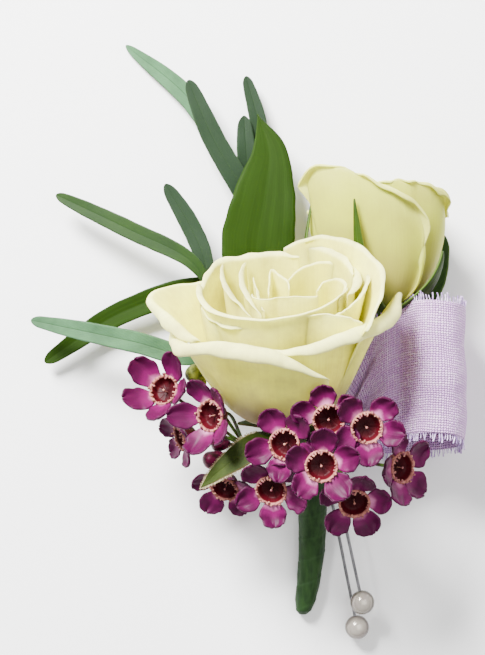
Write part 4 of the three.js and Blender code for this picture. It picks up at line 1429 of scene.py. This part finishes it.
LEFT_FORK = (-13.5, 4.4, 16)
LEFT_LOW_FORK = (-7.6, 4, 13.6)
FRONT_FORK = (2, 3.6, 21)
FRONT_WAXFLOWERS = (
    Waxflower((1, 1.9, 43.4), (0.02, -0.1, 0.99), 52, FRONT_FORK),
    Waxflower((9.8, 9, 40), (0.12, -0.12, 0.98), 20, FRONT_FORK),
    Waxflower((2.6, 10.4, 38), (-0.08, -0.2, 0.97), 64, FRONT_FORK),
    Waxflower((-5.8, 5.6, 36), (-0.35, -0.12, 0.93), 10, FRONT_FORK),
    Waxflower((7.8, -6, 33), (0.06, -0.46, 0.88), 44, FRONT_FORK),
    Waxflower((17.2, 0.8, 31), (0.66, -0.04, 0.75), 66, FRONT_FORK),
    Waxflower((-8.3, -3.6, 31), (-0.18, -0.34, 0.92), 28, FRONT_FORK),
)
LEFT_WAXFLOWERS = (
    Waxflower((-20.2, 10.8, 29.5), (-0.6, -0.04, 0.8), 73, LEFT_FORK, close=0.45),
    Waxflower((-29.6, 15.6, 21), (-0.42, 0.3, 0.86), 20, LEFT_FORK, close=0.6),
    Waxflower((-26.4, 6, 17.4), (-0.9, -0.26, 0.36), 0, LEFT_FORK, size=0.85),
    Waxflower((-17.4, -4, 22.4), (-0.25, -0.6, 0.76), 54, LEFT_LOW_FORK, size=0.92),
)
CLOSED_BUDS = (
    ClosedBud((-24.4, 20.4, 20.6), LEFT_FORK, 1.1, Green.YOUNG_BUD),
    ClosedBud((-20.2, 4.6, 13.6), LEFT_FORK, 0.9),
    ClosedBud((-21.8, 0.6, 15.6), LEFT_FORK, 1.0),
    ClosedBud((-18.2, -2, 13), LEFT_FORK, 0.9),
)


class GrowingTree:
    """A geometry nodes tree with named inputs, which grows parts on a carrier's points."""

    label = "grown parts"
    inputs: tuple[tuple[str, str, float], ...] = ()

    def __init__(self, finish: bpy.types.Material) -> None:
        """Builds the tree.

        Args:
            finish: The material of what it grows.
        """
        self.tree = bpy.data.node_groups.new(self.label, "GeometryNodeTree")
        self.node = partial(add_node, self.tree)
        self.finish = finish
        self.sockets: dict[str, str] = {}
        face = self.tree.interface
        face.new_socket("Geometry", in_out="INPUT", socket_type="NodeSocketGeometry")
        for name, kind, value in self.inputs:
            socket = face.new_socket(name, in_out="INPUT", socket_type=kind)
            socket.default_value = value
            self.sockets[name] = socket.identifier
        face.new_socket("Geometry", in_out="OUTPUT", socket_type="NodeSocketGeometry")
        given = self.node("NodeGroupInput", out="")
        grown = self.wire(given)
        real = self.node("GeometryNodeRealizeInstances", {"Geometry": grown})
        smooth = self.node("GeometryNodeSetShadeSmooth", {"Geometry": real})
        dressed = self.node("GeometryNodeSetMaterial", {"Geometry": smooth, "Material": finish})
        self.node("NodeGroupOutput", {"Geometry": dressed})

    def wire(self, given: Any) -> bpy.types.NodeSocket:
        """Wires the tree from its inputs and returns the instances that it grows."""
        raise NotImplementedError

    def rod(self, bend: dict[str, Any], sides: int, radius: bpy.types.NodeSocket) -> bpy.types.NodeSocket:
        """Makes a rod round a bent line, of as many sides and with closed ends."""
        line = self.node("GeometryNodeCurveQuadraticBezier", bend)
        ring = self.node("GeometryNodeCurvePrimitiveCircle", {"Resolution": sides, "Radius": radius})
        skin = {"Curve": line, "Profile Curve": ring, "Fill Caps": True}
        return self.node("GeometryNodeCurveToMesh", skin)

    def grow(
        self, name: str, points: np.ndarray, values: dict[str, np.ndarray], **settings: float
    ) -> bpy.types.Object:
        """Runs the tree on loose points and keeps the result as a plain mesh.

        Args:
            name: The piece's name.
            points: The carrier's points, in millimetres.
            values: Named attributes of the points, vectors or numbers.
            **settings: The tree's inputs, by name.

        Returns:
            The finished piece, with no modifier.
        """
        mesh = bpy.data.meshes.new(name)
        mesh.from_pydata(((points + SHIFT) / 1000).tolist(), [], [])
        for label, data in values.items():
            kind, key = ("FLOAT_VECTOR", "vector") if data.ndim == 2 else ("FLOAT", "value")
            mesh.attributes.new(label, kind, "POINT").data.foreach_set(key, data.astype(np.float32).ravel())
        carrier = put(name + "_carrier", mesh)
        modifier = carrier.modifiers.new("grow", "NODES")
        modifier.node_group = self.tree
        for label, value in settings.items():
            modifier[self.sockets[label]] = value
        evaluated = carrier.evaluated_get(bpy.context.evaluated_depsgraph_get())
        made = bpy.data.meshes.new_from_object(evaluated)
        made.name = name
        if not made.materials:
            made.materials.append(self.finish)
        piece = put(name, made)
        bpy.data.objects.remove(carrier)
        return piece


class CrownTree(GrowingTree):
    """Sets a crown of stamens round the rim of each cup.

    Each point of the carrier is the middle of a rim, with facing and size on it. The inputs' lengths are in
    metres, as are those of the threads below.
    """

    label = "stamen crown"
    inputs = (
        ("Stamens", "NodeSocketInt", 25),
        ("Rim", "NodeSocketFloat", 0.003),
        ("Length", "NodeSocketFloat", 0.001),
        ("Thickness", "NodeSocketFloat", 0.0002),
        ("Head", "NodeSocketFloat", 0.00021),
        ("Seed", "NodeSocketInt", 4),
    )

    def stamen(self, given: Any) -> bpy.types.NodeSocket:
        """Makes one stamen: a short broad filament bent in over the cup, with an anther on its end."""
        length = given["Length"]
        inward = self.node("ShaderNodeMath", {0: length, 1: -0.5}, operation="MULTIPLY")
        low = self.node("ShaderNodeMath", {0: length, 1: 0.6}, operation="MULTIPLY")
        start = self.node("ShaderNodeCombineXYZ", {"Z": -0.0002})
        bend = self.node("ShaderNodeCombineXYZ", {"Z": low})
        end = self.node("ShaderNodeCombineXYZ", {"X": inward, "Z": low})
        links = {"Resolution": 4, "Start": start, "Middle": bend, "End": end}
        filament = self.rod(links, 6, given["Thickness"])
        head = self.node("GeometryNodeMeshIcoSphere", {"Radius": given["Head"], "Subdivisions": 2})
        moved = self.node("GeometryNodeTransform", {"Geometry": head, "Translation": end})
        return self.node("GeometryNodeJoinGeometry", {"Geometry": (filament, moved)})

    def wire(self, given: Any) -> bpy.types.NodeSocket:
        """Stands the stamens in a ring and the ring on each rim."""
        ring = self.node("GeometryNodeMeshCircle", {"Vertices": given["Stamens"], "Radius": given["Rim"]})
        places = self.node("GeometryNodeMeshToPoints", {"Mesh": ring})
        index = self.node("GeometryNodeInputIndex")
        share = self.node("ShaderNodeMath", {0: index, 1: given["Stamens"]}, operation="DIVIDE")
        turn = self.node("ShaderNodeMath", {0: share, 1: 2 * math.pi}, operation="MULTIPLY")
        around = self.node("ShaderNodeCombineXYZ", {"Z": turn})
        sway = {0: (-0.4, -0.5, -0.5), 1: (0.4, 0.9, 0.5), "ID": index, "Seed": given["Seed"]}
        loose = self.node("FunctionNodeRandomValue", sway, data_type="FLOAT_VECTOR")
        spin = self.node("ShaderNodeVectorMath", {0: around, 1: loose}, operation="ADD")
        sizes = {2: 0.6, 3: 1.15, "ID": index, "Seed": given["Seed"]}
        scale = self.node("FunctionNodeRandomValue", sizes, out=1, data_type="FLOAT")
        stood = {"Points": places, "Instance": self.stamen(given), "Rotation": spin, "Scale": scale}
        crown = self.node("GeometryNodeInstanceOnPoints", stood)
        facing = self.node("GeometryNodeInputNamedAttribute", {"Name": "facing"}, data_type="FLOAT_VECTOR")
        turned = self.node("FunctionNodeAlignRotationToVector", {"Vector": facing}, axis="Z")
        size = self.node("GeometryNodeInputNamedAttribute", {"Name": "size"}, data_type="FLOAT")
        rims = self.node("GeometryNodeMeshToPoints", {"Mesh": given["Geometry"]})
        links = {"Points": rims, "Instance": crown, "Rotation": turned, "Scale": size}
        return self.node("GeometryNodeInstanceOnPoints", links)


class ThreadTree(GrowingTree):
    """Stands thin threads along an edge: the fray of a ribbon or the down of a sepal.

    Each point of the carrier is a place on the edge, with the way out on it as outward.
    """

    label = "edge threads"
    inputs = (
        ("Length", "NodeSocketFloat", 0.0017),
        ("Thickness", "NodeSocketFloat", 0.00016),
        ("Sway", "NodeSocketFloat", 0.3),
        ("Shortest", "NodeSocketFloat", 0.5),
        ("Seed", "NodeSocketInt", 2),
    )

    def wire(self, given: Any) -> bpy.types.NodeSocket:
        """Stands one bowed thread on each point."""
        index = self.node("GeometryNodeInputIndex")
        half = self.node("ShaderNodeMath", {0: given["Length"], 1: 0.5}, operation="MULTIPLY")
        bow = self.node("ShaderNodeMath", {0: given["Length"], 1: 0.12}, operation="MULTIPLY")
        middle = self.node("ShaderNodeCombineXYZ", {"X": bow, "Z": half})
        end = self.node("ShaderNodeCombineXYZ", {"Z": given["Length"]})
        links = {"Resolution": 3, "Start": (0, 0, 0), "Middle": middle, "End": end}
        thread = self.rod(links, 4, given["Thickness"])
        outward = self.node("GeometryNodeInputNamedAttribute", {"Name": "outward"}, data_type="FLOAT_VECTOR")
        sway = {0: (-1.0, -1.0, -1.0), 1: (1.0, 1.0, 1.0), "ID": index, "Seed": given["Seed"]}
        loose = self.node("FunctionNodeRandomValue", sway, data_type="FLOAT_VECTOR")
        drift = self.node("ShaderNodeVectorMath", {0: loose, "Scale": given["Sway"]}, operation="SCALE")
        aim = self.node("ShaderNodeVectorMath", {0: outward, 1: drift}, operation="ADD")
        turned = self.node("FunctionNodeAlignRotationToVector", {"Vector": aim}, axis="Z")
        sizes = {2: given["Shortest"], 3: 1.1, "ID": index, "Seed": given["Seed"]}
        scale = self.node("FunctionNodeRandomValue", sizes, out=1, data_type="FLOAT")
        points = self.node("GeometryNodeMeshToPoints", {"Mesh": given["Geometry"]})
        links = {"Points": points, "Instance": thread, "Rotation": turned, "Scale": scale}
        return self.node("GeometryNodeInstanceOnPoints", links)


@dataclass
class WaxflowerSprig:
    """A sprig of waxflowers: its stems, cups, stamens and closed buds, and each flower's petals."""

    name: str
    turn: float
    way: tuple[Place, ...]
    flowers: tuple[Waxflower, ...]
    buds: tuple[ClosedBud, ...]
    first: int  # the number of its first flower

    def build(
        self, petal: bpy.types.Material, greens: Sequence[bpy.types.Material], crown: CrownTree
    ) -> None:
        """Makes the sprig and its flowers.

        Args:
            petal: The petals' material.
            greens: Those of the cup, style and stamens, stem, closed bud and young bud.
            crown: The geometry nodes of the stamens.
        """
        heap = Heap()
        bound = Bundle.stretch(Bundle.thin_end, BUNDLE_R, self.turn)
        heap.tube(stem_line([*bound, *self.way]), STEM_R, 10, slot=Green.STEM)
        for k, flower in enumerate(self.flowers):
            flower.cup(heap)
            flower.stalk(heap)
            petals = Heap()
            number = self.first + k
            flower.petals(petals, number)
            node = f"waxflower_{number:02d}_petals"
            settle(petals.build(f"waxflower_{number:02d}_bloom", [petal]), "waxflower_petal", node)
        for bud in self.buds:
            bud.add_to(heap)
        settle(heap.build(self.name + "_stems", greens), "waxflower_stem", self.name)
        rims = np.array([flower.rim for flower in self.flowers], float)
        facing = unit(np.array([flower.facing for flower in self.flowers], float))
        size = np.array([flower.size for flower in self.flowers])
        values = {"facing": facing, "size": size}
        settle(crown.grow(self.name + "_stamens", rims, values, Seed=self.first), "waxflower_stem")


@dataclass
class RibbonLoop:
    """The ribbon, led out in front, round at the right and back behind, with frayed edges."""

    width: float = 28.5
    thickness: float = 0.42
    rows: int = 240
    columns: int = 60
    thread_gap: float = 0.62

    # x and z of the strip, and its lowest and highest y
    stations = (
        *((5.3, 10.6, 2.4, 7.4), (8.2, 12.6, 2.8, 16), (11.5, 15.8, 4.2, 25.4), (14.4, 18.2, 5.4, 30.6)),
        *((18, 17.8, 6.4, 32.6), (21.9, 23.3, 7.2, 33.6), (27.8, 22.8, 6.8, 33.2), (30.6, 18, 5.6, 32.4)),
        *((30.9, 12.5, 4.4, 31.6), (29, 6.8, 3.2, 31), (24.6, 2.6, 2.5, 30.2), (19, 0.5, 2, 28)),
        *((13.5, 2, 1.6, 21.5), (9, 4.8, 1.4, 13.5), (5.4, 7.6, 1.6, 7)),
    )

    def surface(self) -> Grid:
        """Works out the ribbon's middle surface, with gathers towards its ends and a soft wave."""
        v = np.linspace(0, 1, self.rows)
        route = Route([(x, 0, z) for x, z, _, _ in self.stations])
        centre = route.at(v)
        ahead = unit(np.gradient(centre, axis=0))
        out = np.cross(ahead, np.array([0.0, 1.0, 0.0]))
        places = np.linspace(0, 1, len(self.stations))
        lows, highs = (
            Route([(p, s[k], 0) for p, s in zip(places, self.stations)], even=True).at(v)[:, 1]
            for k in (2, 3)
        )
        u = np.linspace(0, 1, self.columns)[None, :]
        grid = np.repeat(centre[:, None], self.columns, 1)
        grid[..., 1] = lows[:, None] * (1 - u) + highs[:, None] * u
        end = np.minimum(v, 1 - v)[:, None]
        gathered = (1 - smoothstep(end, 0.04, 0.26)) * smoothstep(end, 0.0, 0.08)
        pleat = 0.7 * gathered * np.sin(2 * np.pi * (3.5 * u + 0.15))
        soft = 0.22 * np.sin(2 * np.pi * (1.1 * u + 1.7 * v[:, None]))
        soft = soft + 0.12 * np.sin(2 * np.pi * (2.7 * u - 2.2 * v[:, None]))
        grid = grid + out[:, None] * (pleat + soft)[..., None]
        grid[..., 2] = np.maximum(grid[..., 2], self.thickness / 2 + 0.05)
        return grid

    def fray(self, grid: Grid) -> tuple[np.ndarray, np.ndarray]:
        """Spaces the fray's threads along both edges and gives their points and ways out."""
        rng = np.random.default_rng(11)
        bare = 4.0  # bare stretch at each end, which the binding holds
        points, ways = [], []
        for edge, inner in ((0, 3), (-1, -4)):
            line = grid[:, edge]
            gone = travelled(line)
            spots = np.arange(bare, gone[-1] - bare, self.thread_gap)
            spots = spots + rng.uniform(-0.12, 0.12, len(spots))
            row = np.interp(spots, gone, np.arange(len(line)))
            low = row.astype(int)
            share = (row - low)[:, None]
            points.append(line[low] * (1 - share) + line[np.minimum(low + 1, len(line) - 1)] * share)
            ways.append(unit(line[low] - grid[low, inner]))
        return np.concatenate(points), np.concatenate(ways)

    def build(self) -> None:
        """Makes the ribbon and its fray, and logs the size it has when laid flat."""
        grid = self.surface()
        length = float(travelled(grid.mean(1))[-1])
        silk = WovenSilk(self.width, length).make()
        heap = Heap()
        heap.shell(grid, self.thickness, edge=0.8)
        piece = settle(heap.build("ribbon_weave", [silk]), "ribbon", "ribbon_loop")
        thread = PlainTissue("frayed silk thread", "E2CDEE", "9A78B4", 0.7, 1500).make()
        points, ways = self.fray(grid)
        fray = settle(ThreadTree(thread).grow("ribbon_fray", points, {"outward": ways}, Seed=5), "ribbon")
        log.info("ribbon laid flat: %.1f by %.1f mm", self.width, length)


@dataclass
class TapeWrap:
    """Floral tape wound in a spiral up the bundle, thickest at the binding."""

    pitch: float = 5.2
    step: float = 0.1
    sides: int = 56
    rows: int = 300

    # share of the bundle's length, and outer radius
    profile = (
        (0, COLLAR_R - 0.4),
        (0.03, COLLAR_R - 0.1),
        (0.1, COLLAR_R),
        (0.17, COLLAR_R - 0.2),
        (0.22, TAPE_R + 0.1),
        (0.34, TAPE_R),
        (0.5, TAPE_R - 0.05),
        (0.66, TAPE_R - 0.2),
        (0.8, TAPE_R - 0.45),
        (0.92, TAPE_R - 0.75),
        (0.98, TAPE_R - 1.3),
        (1, 0.8),
    )

    def build(self) -> None:
        """Makes the wrap with its overlapping turns."""
        outer = np.linspace(0, 1, self.rows)
        turn = np.linspace(0, 360, self.sides, endpoint=False)
        places, radii = zip(*self.profile)
        radius = np.interp(outer, places, radii)
        run = outer * Bundle.axis.length / self.pitch
        phase = (run[:, None] - turn[None, :] / 360 + 0.03 * waves(turn / 360, 3, (1, 2))[None, :]) % 1
        lap = self.step * (smoothstep(phase, 0.0, 0.06) - phase)
        fade = smoothstep(outer, 0.0, 0.03) * (1 - smoothstep(outer, 0.93, 1.0))
        pucker = 0.05 * waves(turn / 360, 8, (7, 13, 19))[None, :] * waves(run / 9, 9, (6, 11))[:, None]
        reach = radius[:, None] + (lap + pucker) * fade[:, None]
        skin = Bundle.point(outer[:, None], reach, turn[None, :])
        inside = np.array([[0.08], [0.05], [0.02], [0.0]])
        mouth = Bundle.point(inside, np.array([[2.0], [2.6], [3.0], [3.3]]), turn[None, :])
        grid = np.concatenate([mouth, skin])
        grid[..., 2] = np.maximum(grid[..., 2], 0.02)
        heap = Heap()
        heap.rings(grid, slot=0)
        # fold marks the raised lap of each turn, which the tape's material paints lighter as a highlight
        fold = smoothstep(phase, 0.0, 0.05) * (1 - smoothstep(phase, 0.06, 0.2))
        heap.values["tint"][-1] = np.concatenate([np.zeros(mouth[..., 0].size), fold.ravel(), [0, 0]])
        settle(heap.build("tape_winding", [CrepeTape().make()]), "floral_tape", "floral_tape_wrap")


@dataclass(frozen=True)
class Pin:
    """A corsage pin: where its pearl is, and the place in the binding that it is stuck through."""

    number: int
    pearl: Place
    through: Place
    seat: float = 1.2

    def build(self, steel: bpy.types.Material, lacquer: bpy.types.Material) -> None:
        """Makes the shaft and the pearl."""
        centre = np.array(self.pearl)
        way = unit(np.array(self.through) - centre)
        foot = centre + way * (PEARL_R - self.seat)
        gone = np.array([0, 0.5, 10, 20, PIN_LENGTH - 3, PIN_LENGTH - 1, PIN_LENGTH])
        width = PIN_R * np.array([1, 1, 1, 1, 1, 0.55, 0.12])
        shaft = Heap()
        shaft.tube(foot + way * gone[:, None], width, 20)
        settle(shaft.build(f"pin_{self.number}_steel", [steel]), "pin_steel", f"pin_{self.number}_shaft")
        bead = Heap()
        flower = Flower(self.pearl, tuple(way))
        swing = np.linspace(0.02, np.pi - 0.2, 48)[:, None]
        turn = circle(64)[None, :]
        dent = 1 + 0.004 * waves(turn / (2 * np.pi), self.number, (2, 3))
        bead.rings(flower.point(PEARL_R * np.sin(swing) * dent, -PEARL_R * np.cos(swing), turn))
        settle(bead.build(f"pin_{self.number}_bead", [lacquer]), "pearl", f"pin_{self.number}_pearl")


@dataclass
class Studio:
    """The floor, the soft lights and the camera that looks down on the part as the photograph does."""

    lens: float = 118.2
    height: float = 450.0
    place: tuple[float, float] = (-13.9, 28.1)

    def build(self) -> None:
        """Makes the floor, lights, sky and camera."""
        self.floor()
        self.light("key", (-250, 420, 430), 0.22, 24.0)
        self.light("fill", (200, 60, 600), 0.5, 2.4)
        world = bpy.data.worlds.new("soft room")
        bpy.context.scene.world = world
        world.use_nodes = True
        world.node_tree.nodes.clear()
        sky = add_node(world.node_tree, "ShaderNodeBackground", {"Color": "FFFFFF", "Strength": 0.65})
        add_node(world.node_tree, "ShaderNodeOutputWorld", {"Surface": sky})
        lens = bpy.data.cameras.new("camera")
        lens.lens = self.lens
        lens.clip_start, lens.clip_end = 0.01, 20
        camera = put("camera", lens)
        camera.location = framed((*self.place, self.height))
        bpy.context.scene.camera = camera

    def floor(self) -> None:
        """Makes the floor."""
        mesh = bpy.data.meshes.new("floor")
        reach = 1.5
        below = -0.0002  # just under the part, so that no face of it lies in the floor's
        corners = ((-reach, -reach), (reach, -reach), (reach, reach), (-reach, reach))
        mesh.from_pydata([(x, y, below) for x, y in corners], [], [(0, 1, 2, 3)])
        mesh.materials.append(Backdrop().make())
        put("floor", mesh)

    def light(self, name: str, place: Place, size: float, power: float) -> None:
        """Adds a square area light that points at the flowers, with its place in millimetres."""
        lamp = bpy.data.lights.new(name, "AREA")
        lamp.energy = power
        lamp.size = size
        thing = put(name, lamp)
        thing.location = framed(place)
        back = Vector(place) - Vector((0, 15, 20))
        thing.rotation_euler = back.to_track_quat("Z", "Y").to_euler()


def sprigs() -> tuple[LeafSprig, ...]:
    """Gives the sprigs of eucalyptus and ruscus."""
    shades = ("1D2D1C", "263C18", "466C4A")
    eucalyptus = GreenTissue("eucalyptus leaf", shades, "1B2A1A", "263820", "34482E", 0.6, 34, 8, 0.04)
    ruscus = LongVeinedLeaf()
    twig = PlainTissue("eucalyptus twig", "6C7A3C", "3F4B22")
    stalk = PlainTissue("ruscus stem", "3F661C", "274A10")
    broad = (0.2, 0.66, 0.94, 1, 0.94, 0.8, 0.6, 0.34, 0.05)
    slender = (0.2, 0.36, 0.5, 0.68, 0.86, 0.97, 0.96, 0.74, 0.3)
    return (
        LeafSprig(
            "eucalyptus_sprig_left",
            "eucalyptus",
            196,
            ((-6, 12, 9.4), (-13, 24, 8.6), (-21, 37, 9)),
            (
                Leaf(((-20.6, 36.4, 9), (-22, 43, 9), (-24.9, 49.6, 8.4), (-29.8, 57.6, 8)), 2.0),
                Leaf(((-20.4, 36.4, 9), (-24.6, 41.8, 10), (-37, 48.1, 9), (-52.4, 55.5, 6)), 1.9, tint=0.4),
                Leaf(((-14, 26, 8.7), (-24, 22.4, 12), (-36, 25.2, 12.4), (-57.2, 29.6, 10)), 2.2, tint=1.0),
            ),
            eucalyptus,
            twig,
            20,
        ),
        LeafSprig(
            "eucalyptus_sprig_top",
            "eucalyptus",
            284,
            ((0, 10, 8.2), (-8, 32, 2.8), (-11.2, 56, 3.6)),
            (
                Leaf(
                    ((-9.4, 42, 3), (-14.9, 57.6, 2.2), (-24.4, 75, 1.6), (-38.3, 87.1, 0.35)),
                    2.1,
                    slender,
                    tint=1.0,
                ),
                Leaf(((-10.2, 46, 3.2), (-13.4, 55.3, 6), (-20.2, 67.7, 6.6), (-25.1, 79.2, 6)), 2.35),
                Leaf(((-11, 54, 3.6), (-10, 64, 3.8), (-10.7, 71, 4), (-13.2, 80.3, 3.4)), 1.8),
                Leaf(((-11, 54.6, 3.6), (-12.6, 60, 4.6), (-13.2, 66, 5), (-13.6, 72, 4.6)), 2),
            ),
            eucalyptus,
            twig,
            30,
        ),
        LeafSprig(
            "ruscus_sprig",
            "ruscus",
            240,
            ((-3.6, 13, 8), (-8, 23, 6.6), (-10.8, 32.4, 7)),
            (
                Leaf(
                    ((-10.6, 31, 7), (-10.9, 44, 8.6), (-9.2, 56, 9.2), (-8.4, 64, 9), (-10.8, 71.9, 8.4)),
                    7.4,
                    broad,
                    wave=0.3,
                ),
                Leaf(((-9, 28, 6.6), (-20, 36, 5), (-38, 31.6, 4.4), (-55, 20.9, 3)), 2.5, tint=0.3),
            ),
            ruscus,
            stalk,
            40,
        ),
    )


def calyxes() -> tuple[Calyx, Calyx]:
    """Gives what carries the open rose and the half-open one."""
    sepal_shades = ("2B3610", "303E11", "3A4C16")
    downy = GreenTissue("sepal", sepal_shades, "20280A", "384418", "766A46", 0.6, 12, 3, 0.05)
    leaf_shades = ("203A0D", "2A3C06", "364A0C")
    fresh = GreenTissue("rose leaf", leaf_shades, "152A0A", "34501A", "5C7434", 0.42, 14, 5, 0.07)
    rose = Calyx(
        "rose_calyx_and_stem",
        ROSE,
        (
            Sepal(245, 8, 2.6, (86, 96, 104)),
            Sepal(180, 7, 2.6, (84, 90, 94)),
            Sepal(110, 7, 2.6, (86, 90, 92)),
            Sepal(40, 8, 2.6, (86, 92, 96)),
            Sepal(310, 7.6, 2.6, (86, 92, 96)),
        ),
        [*Bundle.stretch(Bundle.rose_end, 0, 0), (0.2, 7.6, 13.4), (-2.6, 7.6, 15.6), (-5.5, 6.4, 16.2)],
        ROSE_STEM_R,
        Leaf(
            ((-5.9, 7.4, 17), (-8.8, 5.6, 23.6), (-13, 3.8, 28.4), (-18, 0.2, 28.6), (-22, -3.4, 26.6)),
            3.0,
            (0.4, 0.8, 1, 1, 0.95, 0.84, 0.66, 0.4, 0.08),
            up=(-0.3, 0.3, 0.9),
            fold=0.18,
        ),
        downy,
        50,
    )
    bud = Calyx(
        "bud_calyx_and_stem",
        BUD,
        (
            Sepal(247, 29, 2.4, (84, 58, 26, 4, 0, -2)),
            Sepal(188, 31.5, 2.2, (84, 66, 40, 4, -14, -16)),
            Sepal(318, 18.5, 3.2, (80, 66, 58, 46, 30, 10)),
            Sepal(50, 22, 2.4, (88, 70, 38, 14, 8, 2)),
            Sepal(120, 22, 2.4, (88, 70, 38, 14, 8, 2)),
        ),
        [
            *Bundle.stretch(Bundle.thin_end, BUNDLE_R, -8),
            *((2.9, 10.4, 9.6), (7.5, 18, 9.8), (13.2, 25, 12.6), (15.6, 28.4, 13.5)),
        ],
        STEM_R,
        Leaf(((13.4, 25.2, 12.4), (20, 29, 8), (25.2, 37.6, 5), (27.6, 47.4, 4.6)), 2.9),
        fresh,
        60,
    )
    return rose, bud


def down(calyx: Calyx) -> None:
    """Lines the borders of the calyx's long sepal with pale down, in three hairs for each of its rows."""
    grid = calyx.leaf.surface(calyx.seed)
    bare = 4  # rows at its foot
    rows = np.arange(bare, len(grid) - 1)
    points, ways = [], []
    for edge, inner in ((0, 2), (-1, -3)):
        for share in (0.0, 0.33, 0.66):
            line = grid[rows, edge] * (1 - share) + grid[rows + 1, edge] * share
            points.append(line)
            ways.append(unit(line - grid[rows, inner]))
    hair = PlainTissue("sepal down", "B0A482", "8A7C5C", 0.8, 2000).make()
    values = {"outward": np.concatenate(ways)}
    sizes = {"Length": 0.0005, "Thickness": 0.00005, "Sway": 0.5, "Seed": 8}
    settle(ThreadTree(hair).grow("sepal_down", np.concatenate(points), values, **sizes), "calyx_green")


def main() -> None:
    """Builds the pieces in order."""
    ivory = RosePetalTissue()
    RoseHead("rose_bloom", "rose_petals", "rose_petal", ROSE, ROSE_PETALS, ROSE_CORE, ivory, 100).build()
    greener = RosePetalTissue("young ivory rose petal", "C6CA66", "AFB438", "948E40", "7C8632", "B8B63E")
    RoseHead("bud_bloom", "bud_petals", "bud_petal", BUD, BUD_PETALS, BUD_CORE, greener, 200).build()
    rose, bud = calyxes()
    rose.build()
    bud.build()
    down(rose)
    for sprig in sprigs():
        sprig.build()
    petal = WaxPetalTissue().make()
    greens = [
        WaxCupSkin().make(),
        PlainTissue("waxflower stamen", "B07A68", "743A48", 0.5, 1400).make(),
        PlainTissue("waxflower stem", "3A5418", "301C12").make(),
        PlainTissue("closed waxflower bud", "5A0A30", "260610", 0.4).make(),
        PlainTissue("young waxflower bud", "7E8230", "48521A").make(),
    ]
    crown = CrownTree(greens[Green.STAMEN])
    way = ((0.8, 6, 15.6), FRONT_FORK)
    WaxflowerSprig("waxflower_sprig_front", 90, way, FRONT_WAXFLOWERS, (), 1).build(petal, greens, crown)
    way = ((-3.4, 7.4, 12.4), LEFT_LOW_FORK, LEFT_FORK)
    first = len(FRONT_WAXFLOWERS) + 1
    left = WaxflowerSprig("waxflower_sprig_left", 152, way, LEFT_WAXFLOWERS, CLOSED_BUDS, first)
    left.build(petal, greens, crown)
    RibbonLoop().build()
    TapeWrap().build()
    steel, lacquer = PinSteel().make(), PearlLacquer().make()
    Pin(1, PEARL_PLACE, (2.6, 2, 7.1)).build(steel, lacquer)
    Pin(2, (10.8, -28.6, 6.3), (4, 2, 8.9)).build(steel, lacquer)
    Studio().build()


if __name__ == "__main__":
    main()
